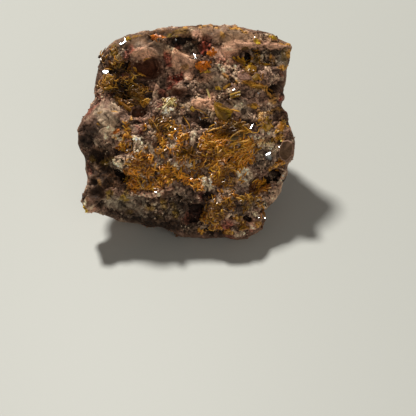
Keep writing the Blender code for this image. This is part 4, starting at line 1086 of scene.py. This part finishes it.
# Single crystals: outline, thickness, lift, colour, edge colour, and the lean where it isn't UP_LEAN.
# An outline is the view places round it, or a blade: from x, y to x, y, and how wide.
OLIVE_TABLET = (
    (
        (213.8, 103.4), (217, 101.8), (222, 103.6), (227, 107), (234, 111.6), (229.8, 115), (226.2, 120.2),
        (221, 119.8), (217.4, 116.4), (215, 110.4),
    ),
    1.4, 1.0, (0.26, 0.13, 0.006), (0.52, 0.27, 0.02), (0.0, 0.0, 0.25),
)
WULFENITE_SLABS = (
    ((229.6, 95, 240.6, 91.2, 1.7), 0.7, 0.6, YELLOW, PALE_EDGE),
    ((229.8, 97, 241, 93.6, 2.0), 0.6, 0.4, OLIVE_GOLD, GOLD_EDGE),
    ((223, 88.5, 231, 83.5, 2.6), 0.7, 0.5, GOLD, GOLD_EDGE),
    ((206.8, 88.4, 210.2, 98.8, 1.8), 0.4, 0.5, PALE_YELLOW, PALE_EDGE),
    ((129.5, 91.6, 139.5, 93.4, 1.8), 0.6, 0.6, (0.30, 0.12, 0.01), AMBER_EDGE),
    ((118.4, 100, 131.6, 109.4, 1.6), 0.6, 0.9, (0.36, 0.15, 0.015), AMBER_EDGE),
    ((131, 97, 139.8, 99.6, 1.8), 0.5, 0.5, (0.34, 0.22, 0.08), GOLD_EDGE),
    ((130, 71, 136.5, 77.5, 1.2), 0.5, 0.5, (0.34, 0.19, 0.05), GOLD_EDGE),
    ((106.5, 77, 113, 79.6, 1.8), 0.5, 0.5, OLIVE_GOLD, GOLD_EDGE),
    ((104, 88.4, 112, 86, 1.6), 0.5, 0.7, GOLD, GOLD_EDGE),
    ((111, 50.6, 116.4, 47, 2.0), 0.5, 0.3, OLIVE_GOLD, GOLD_EDGE),
    ((112, 54.6, 117.6, 50.6, 2.0), 0.5, 0.3, OLIVE_GOLD, OLIVE_EDGE),
    (((246, 66.4), (249, 64.2), (251.4, 65), (251, 68), (247.6, 70)), 0.7, 0.7, YELLOW, YELLOW_EDGE),
    (
        ((248.6, 67.6), (252.8, 65), (257, 67), (256.6, 71.2), (252, 72.6)),
        0.9, 0.6, GOLD, GOLD_EDGE, (0.0, 0.0, 0.3),
    ),
    (((252, 76.4), (256.4, 72.8), (260.4, 74.4), (257.6, 79.4), (253.6, 79.4)), 0.9, 0.6, OLIVE_GOLD, GOLD_EDGE),
    (((259.4, 66.4), (262.6, 63.4), (267.4, 62.8), (266.6, 66), (262.4, 66.8)), 0.6, 0.6, YELLOW, YELLOW_EDGE),
    ((234.4, 58.6, 244.8, 63.4, 2.4), 0.6, 0.5, GOLD, YELLOW_EDGE),
    (
        ((277, 123), (280, 121), (285, 121.4), (285.4, 126), (283, 130.6), (279.6, 131), (277.4, 127)),
        0.6, 0.3, AMBER, AMBER_EDGE,
    ),
    (
        ((261, 122), (264, 119.6), (269, 121), (271.4, 125), (270, 129.6), (266, 130.4), (262.6, 127)),
        0.6, 0.3, OLIVE_GOLD, GOLD_EDGE,
    ),
    ((191, 108, 193.8, 107.6, 2.2), 0.4, 0.5, YELLOW, PALE_EDGE),
    ((162, 108.6, 170, 100.4, 1.8), 0.4, 0.5, PALE_YELLOW, PALE_EDGE),
    ((167.6, 104.6, 173.6, 101, 2.4), 0.4, 0.5, PALE_YELLOW, PALE_EDGE),
    ((169.6, 99.8, 172.6, 104.6, 2.0), 0.4, 0.6, PALE_YELLOW, PALE_EDGE),
    ((165, 106.6, 168, 101.6, 1.4), 0.4, 0.4, PALE_YELLOW, PALE_EDGE),
    ((216, 104.8, 223.6, 108.4, 1.1), 0.4, 1.2, GOLD, GOLD_EDGE),
    ((217.4, 109.4, 226, 111.4, 1.4), 0.4, 1.15, OLIVE_GOLD, OLIVE_EDGE),
    ((220, 116, 228, 112.6, 1.6), 0.4, 1.15, (0.2, 0.1, 0.006), OLIVE_EDGE),
    ((219.6, 106.4, 230, 110.6, 1.1), 0.4, 1.15, GOLD, YELLOW_EDGE),
    ((216.8, 113.4, 222.6, 118.6, 1.3), 0.4, 1.15, (0.2, 0.1, 0.006), GOLD_EDGE),
    ((225.4, 114.8, 231, 113.2, 1.0), 0.4, 1.15, OLIVE_GOLD, YELLOW_EDGE),
    ((222.6, 73, 228.6, 77.6, 2.2), 0.4, 0.3, AMBER, AMBER_EDGE),
    ((243.6, 81.8, 251.6, 83.4, 1.8), 0.5, 0.3, AMBER, GOLD_EDGE),
    ((250, 84.4, 262, 86.2, 2.4), 0.5, 0.3, GOLD, AMBER_EDGE),
    ((257.6, 82.6, 265, 86.8, 1.6), 0.5, 0.3, AMBER, GOLD_EDGE),
    ((265.6, 87.2, 273.6, 91.6, 1.6), 0.5, 0.3, AMBER, GOLD_EDGE),
    ((250, 105.6, 257, 108.2, 3.0), 0.5, 0.3, GOLD, AMBER_EDGE),
    (
        ((229.5, 139.6), (234, 134.4), (240, 131.6), (248, 131.4), (246, 135), (240, 138.4), (234, 141)),
        0.5, 0.3, (0.13, 0.07, 0.01), OLIVE_EDGE,
    ),
)
ROCK_SLABS = (
    (
        ((238, 74.6), (240.4, 71), (243.6, 70.4), (247, 74.6), (250.2, 79), (246, 80), (240, 79.4), (237.6, 77)),
        1.2, 0.3, (0.44, 0.24, 0.17), (0.50, 0.28, 0.2), (0, 0, 0.2),
    ),
    (
        (
            (279, 151), (280.6, 145), (283, 141.2), (288, 140.8), (292.4, 142.4), (292.8, 148), (292, 155), (289, 159),
            (286, 161.4), (281.4, 160), (279.2, 156),
        ),
        1.8, 0.7, (0.155, 0.085, 0.045), (0.52, 0.31, 0.22), (0.1, 0, 0.1),
    ),
)
# The white points, painted glints: outlines of the plain ones, then those with their own thickness, lift and colour
GLINTS = (
    ((118.8, 43.4), (119.8, 44.7), (122, 44.1), (124.4, 42.6), (123.2, 42.3), (121, 43.5)),
    ((123.2, 42.2), (124.4, 42.8), (126.5, 41), (126, 40.4), (124.6, 41.3)),
    ((124.2, 37.8), (125.2, 38.2), (125.2, 40.8), (124.4, 40.8)), (250.4, 128.8, 252.8, 124.2),
    (199.4, 116.2, 200.8, 119.8, 1.2), (173, 128.4, 176.4, 129.2), (174.6, 134.6, 177, 138.2),
    (174.6, 39.4, 176.8, 39.2, 1.8), (215.6, 154.4, 217.2, 155.8), (256.8, 93.6, 259, 92.4), (233, 90, 235, 89),
    (131.8, 159.8, 133.4, 159), (190.2, 163.6, 192, 163.2), (173.4, 179.6, 175, 179.4), (154.8, 192.4, 156.4, 191.8),
    (224.8, 180.2, 225.8, 178.8), (254.2, 37.4, 256, 37), (278.6, 147.6, 280.2, 145.2),
)
OTHER_GLINTS = (
    (
        ((105.6, 64.4), (106.8, 66.4), (108.7, 69.6), (108.2, 72.2), (105.8, 73.8),
         (103, 73), (102.2, 71), (104.8, 69.2)),
        0.2, 0.5, WHITE,
    ),
    (((264.8, 154.6), (266.6, 153.2), (270.6, 151.9), (270.4, 153.6), (267.4, 155.4)), 0.3, 1.6, WHITE),
    ((193.4, 53.4, 196, 58.2), 0.2, 0.15, (0.7, 0.7, 0.7)),
    ((230.6, 123.8, 233, 126.4), 0.2, 0.15, (0.7, 0.7, 0.72)),
    ((256.6, 213, 258.8, 218.4), 0.2, 0.15, (0.75, 0.7, 0.64)),
    ((260.4, 213.4, 265.2, 218.4), 0.2, 0.15, (0.6, 0.55, 0.5)),
)


def blade(x1, y1, x2, y2, wide=GLINT_WIDE):
    """Corners of a blade between two view places, tapered at both ends."""
    start, end = np.array((x1, y1)), np.array((x2, y2))
    way = end - start
    long = np.linalg.norm(way)
    way = way / long
    side = np.array((-way[1], way[0])) * wide / 2
    inset = way * min(wide * 0.35, long * 0.25)
    return (start, start + inset + side, end - inset + side, end, end - inset - side, start + inset - side)


def slab(rock, outline, thick, lift, colour, edge_colour=None, lean=UP_LEAN):
    """A flat-faced crystal whose outline passes through the view places, set on the rock. lean turns its face to this
    direction from the rock's own; GLINT sets it to throw the main light back to the camera."""
    corners = blade(*outline) if np.ndim(outline) == 1 else outline
    count = len(corners)
    middle = np.mean(corners, axis=0)
    place, normal = on_rock(rock, *middle)
    glints = lean is GLINT
    face = unit(unit(TO_KEY) - view_ray(*middle)) if glints else unit(unit(normal + OUT) + np.asarray(lean))
    reach = (place + face * lift - CAMERA_PLACE) @ face
    rays = [view_ray(x, y) for x, y in corners]
    top = np.array([CAMERA_PLACE + ray * (reach / (ray @ face)) for ray in rays])
    rng = np.random.default_rng(int(corners[0][0] * 40 + corners[0][1]))
    centre = top.mean(axis=0)
    across = np.linalg.norm(top - centre, axis=1).mean()
    rough = rng.uniform(-0.09, 0.09, count) * across * (not glints)
    inner = centre + (top - centre) * rng.uniform(0.82, 0.95, (count, 1)) + face * rough[:, None]
    crown = centre + (top[rng.integers(0, count)] - centre) * 0.35
    colour = np.asarray(colour)
    # A glint facet, turned to throw the main light back, is painted white as a painted glint, with its rim at half and
    # its foot near-black as painted shade; other crystals are painted darker at the foot as painted shade
    if glints:
        inner_colours, foot_share = np.tile(colour, (count, 1)), 0.05
        rim_colours = inner_colours * 0.5
    else:
        crown = crown + face * across * rng.uniform(0.0, 0.08)
        inner_colours, foot_share = colour * rng.uniform(0.5, 1.2, (count, 1)), 0.3
        rim_colours = np.asarray(edge_colour) * rng.uniform(0.6, 1.1, (count, 1))
    rim = top - face * min(0.12, thick * 0.3)
    foot = centre + (top - centre) * 0.92 - face * (thick + lift)
    points = np.concatenate([inner, rim, foot, crown[None]])
    faces = [tuple(reversed(range(2 * count, 3 * count)))]
    for k in range(count):
        after = (k + 1) % count
        faces.append((k, after, 3 * count))
        faces.append((k, count + k, count + after, after))
        faces.append((count + k, 2 * count + k, 2 * count + after, count + after))
    if np.cross(inner[1] - inner[0], inner[2] - inner[1]) @ face < 0:
        faces = [tuple(reversed(face_corners)) for face_corners in faces]
    foot_colours = np.tile(colour, (count, 1)) * foot_share
    return points, faces, np.concatenate([inner_colours, rim_colours, foot_colours, [colour * 0.9]])


# ---------------------------------------------------------------- stage, light and camera
def make_stage():
    side = 3.0  # m
    floor = bpy.data.meshes.new("floor")
    floor.from_pydata([(-side, -side, 0), (side, -side, 0), (side, side, 0), (-side, side, 0)], [], [(0, 1, 2, 3)])
    obj = linked("floor", floor)
    made, nodes, links, shader = new_material("table")
    grey = nodes.new("ShaderNodeMix")
    grey.data_type = "RGBA"
    pale, paler = (0.525, 0.54, 0.51, 1.0), (0.555, 0.57, 0.54, 1.0)
    fill(links, grey, dict(A=pale, B=paler, Factor=node_noise(links, nodes, 3.0, 2.0, 0.5)))
    fill(links, shader, dict(Base_Color=grey.outputs["Result"], Roughness=0.55))
    obj.data.materials.append(made)


LIGHT_AWAY = 1.2  # m, as a light's size is


def area_light(name, direction, size, power, colour):
    data = bpy.data.lights.new(name, "AREA")
    data.shape = "DISK"
    data.size = size
    data.energy = power
    data.color = colour
    obj = linked(name, data)
    way = Vector(direction).normalized()
    obj.location = way * LIGHT_AWAY
    obj.rotation_mode = "QUATERNION"
    obj.rotation_quaternion = way.to_track_quat("Z", "Y")


def make_light():
    area_light("key", TO_KEY, 0.16, 15.0, (1.0, 0.97, 0.91))
    area_light("fill", (0.25, -0.8, 0.55), 0.8, 2.6, (1.0, 0.93, 0.85))
    world = bpy.data.worlds.new("world")
    world.use_nodes = True
    background = world.node_tree.nodes["Background"]
    background.inputs["Color"].default_value = (1.0, 0.95, 0.88, 1.0)
    background.inputs["Strength"].default_value = 0.11
    bpy.context.scene.world = world


def make_camera():
    data = bpy.data.cameras.new("camera")
    data.sensor_width = SENSOR
    data.lens = FOCAL * SENSOR / FRAME_SIDE
    data.clip_start = 0.01  # m
    data.clip_end = 20.0
    obj = linked("camera", data)
    turn = Matrix([VIEW_RIGHT.tolist(), (-VIEW_DOWN).tolist(), (-VIEW_AWAY).tolist()]).transposed()
    obj.matrix_world = Matrix.Translation(Vector(CAMERA_PLACE) * MM) @ turn.to_4x4()
    bpy.context.scene.camera = obj


def place_piece(obj, looks, look, *nodes):
    obj.data.materials.append(looks[look])
    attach(obj, "root")
    if nodes:
        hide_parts(*nodes)


def main():
    rock = make_rock()
    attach(rock["object"], "root")
    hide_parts("matrix")

    looks = {name: crystal_material(name) for name in ("wulfenite_honey", "wulfenite_olive", "wulfenite_yellow")}
    looks["rock"] = rock_material()
    looks["clear_facet"] = tinted_material("clear_facet", 1500.0, 0.06, (0.05, 0.16), 0.00001, IOR=1.55)
    looks["druse"] = tinted_material("druse", 3600.0, 0.25, (0.3, 0.85), 0.00004, Specular_IOR_Level=0.3)
    every = (0, 20, 45, 70, 90, 110, 135, 160)
    thin = dict(length=(0.5, 1.8), height=(0.2, 0.7), thick=(0.12, 0.28), spread=16, tilt=0.34, bend=0.14, steps=3)
    flat = dict(turns=every, spread=20, tilt=0.4, bend=0.03, steps=1)
    jobs = (  # piece, CAD node, slot, where, where not, count, seed, shape
        (
            "wulfenite_plates_centre", "wulfenite_crust_centre", "wulfenite_honey", CENTRE_BED, BARE_IN_CENTRE,
            2350, 301, dict(thin, turns=every + (20, 30), tints=ORANGE),
        ),
        (
            "wulfenite_plates_lower_right", "wulfenite_crust_lower_right", "wulfenite_honey", LOBE_BED, (),
            400, 311, dict(thin, turns=every, tints=ORANGE + GOLDEN),
        ),
        (
            "wulfenite_plates_upper_left", "wulfenite_tangle_upper_left", "wulfenite_olive", TANGLE_BED, (), 420, 321,
            dict(
                length=(0.5, 1.9), height=(0.2, 0.6), thick=(0.07, 0.14), turns=(-30, -15, 10, 60, 120), spread=20,
                tilt=0.35, bend=0.12, steps=3, tints=GOLDEN + ORANGE[2:3] + ORANGE[4:],
            ),
        ),
        (
            "wulfenite_plates_upper_right", "wulfenite_cluster_upper_right", "wulfenite_yellow", CLUSTER_BED, (),
            120, 331, dict(flat, length=(0.6, 1.8), height=(0.35, 0.8), thick=(0.2, 0.4), tints=BRIGHT + GOLDEN),
        ),
        (
            "wulfenite_plates_right_edge", "wulfenite_patch_right_edge", "wulfenite_yellow", EDGE_BED, (), 90, 341,
            dict(flat, length=(0.6, 1.6), height=(0.25, 0.6), thick=(0.15, 0.3), tints=BRIGHT),
        ),
        (
            "wulfenite_plates_by_slot", "wulfenite_blades_by_slot", "wulfenite_honey", SLOT_BED, (), 80, 351,
            dict(
                length=(0.8, 2.4), height=(0.4, 0.8), thick=(0.12, 0.25), turns=(0, 30, 60), spread=20, tilt=0.4,
                tints=ORANGE,
            ),
        ),
    )
    for name, node, slot, where, bare, count, seed, shape in jobs:
        place_piece(grow(rock, name, where, bare, count, seed, **shape), looks, slot, node)

    spray = dict(length=(0.5, 1.3), height=(0.15, 0.4), thick=(0.1, 0.18), turns=every, spread=10, tilt=0.4)
    glints = [slab(rock, outline, *PLAIN_GLINT, lean=GLINT) for outline in GLINTS]
    glints += [slab(rock, *row, lean=GLINT) for row in OTHER_GLINTS]
    pieces = (
        (make_bed_grains(rock), "wulfenite_honey"),
        (grow(rock, "wulfenite_spray", SPRAY_BED, (), 40, 361, tints=STRAW, **spray), "wulfenite_yellow"),
        (make_strands(rock), "wulfenite_honey"),
        (joined("wulfenite_tablet", [slab(rock, *OLIVE_TABLET)]), "wulfenite_olive", "wulfenite_crystal_olive"),
        (joined("wulfenite_single", [slab(rock, *row) for row in WULFENITE_SLABS]), "wulfenite_yellow"),
        (joined("rock_fragments", [slab(rock, *row) for row in ROCK_SLABS]), "rock"),
        (joined("clear_facets", glints), "clear_facet"),
        *((grains, "druse") for grains in make_druse(rock)),
        (make_coloured_grains(rock, "orange_grains", ORANGE_GRAINS, 300, 231, (0.35, 0.8)), "wulfenite_honey"),
        (make_coloured_grains(rock, "yellow_grains", YELLOW_GRAINS, 150, 241, (0.25, 0.5)), "wulfenite_yellow"),
    )
    for obj, look, *nodes in pieces:
        place_piece(obj, looks, look, *nodes)

    make_stage()
    make_light()
    make_camera()
    bpy.context.scene.view_settings.view_transform = "Standard"


main()
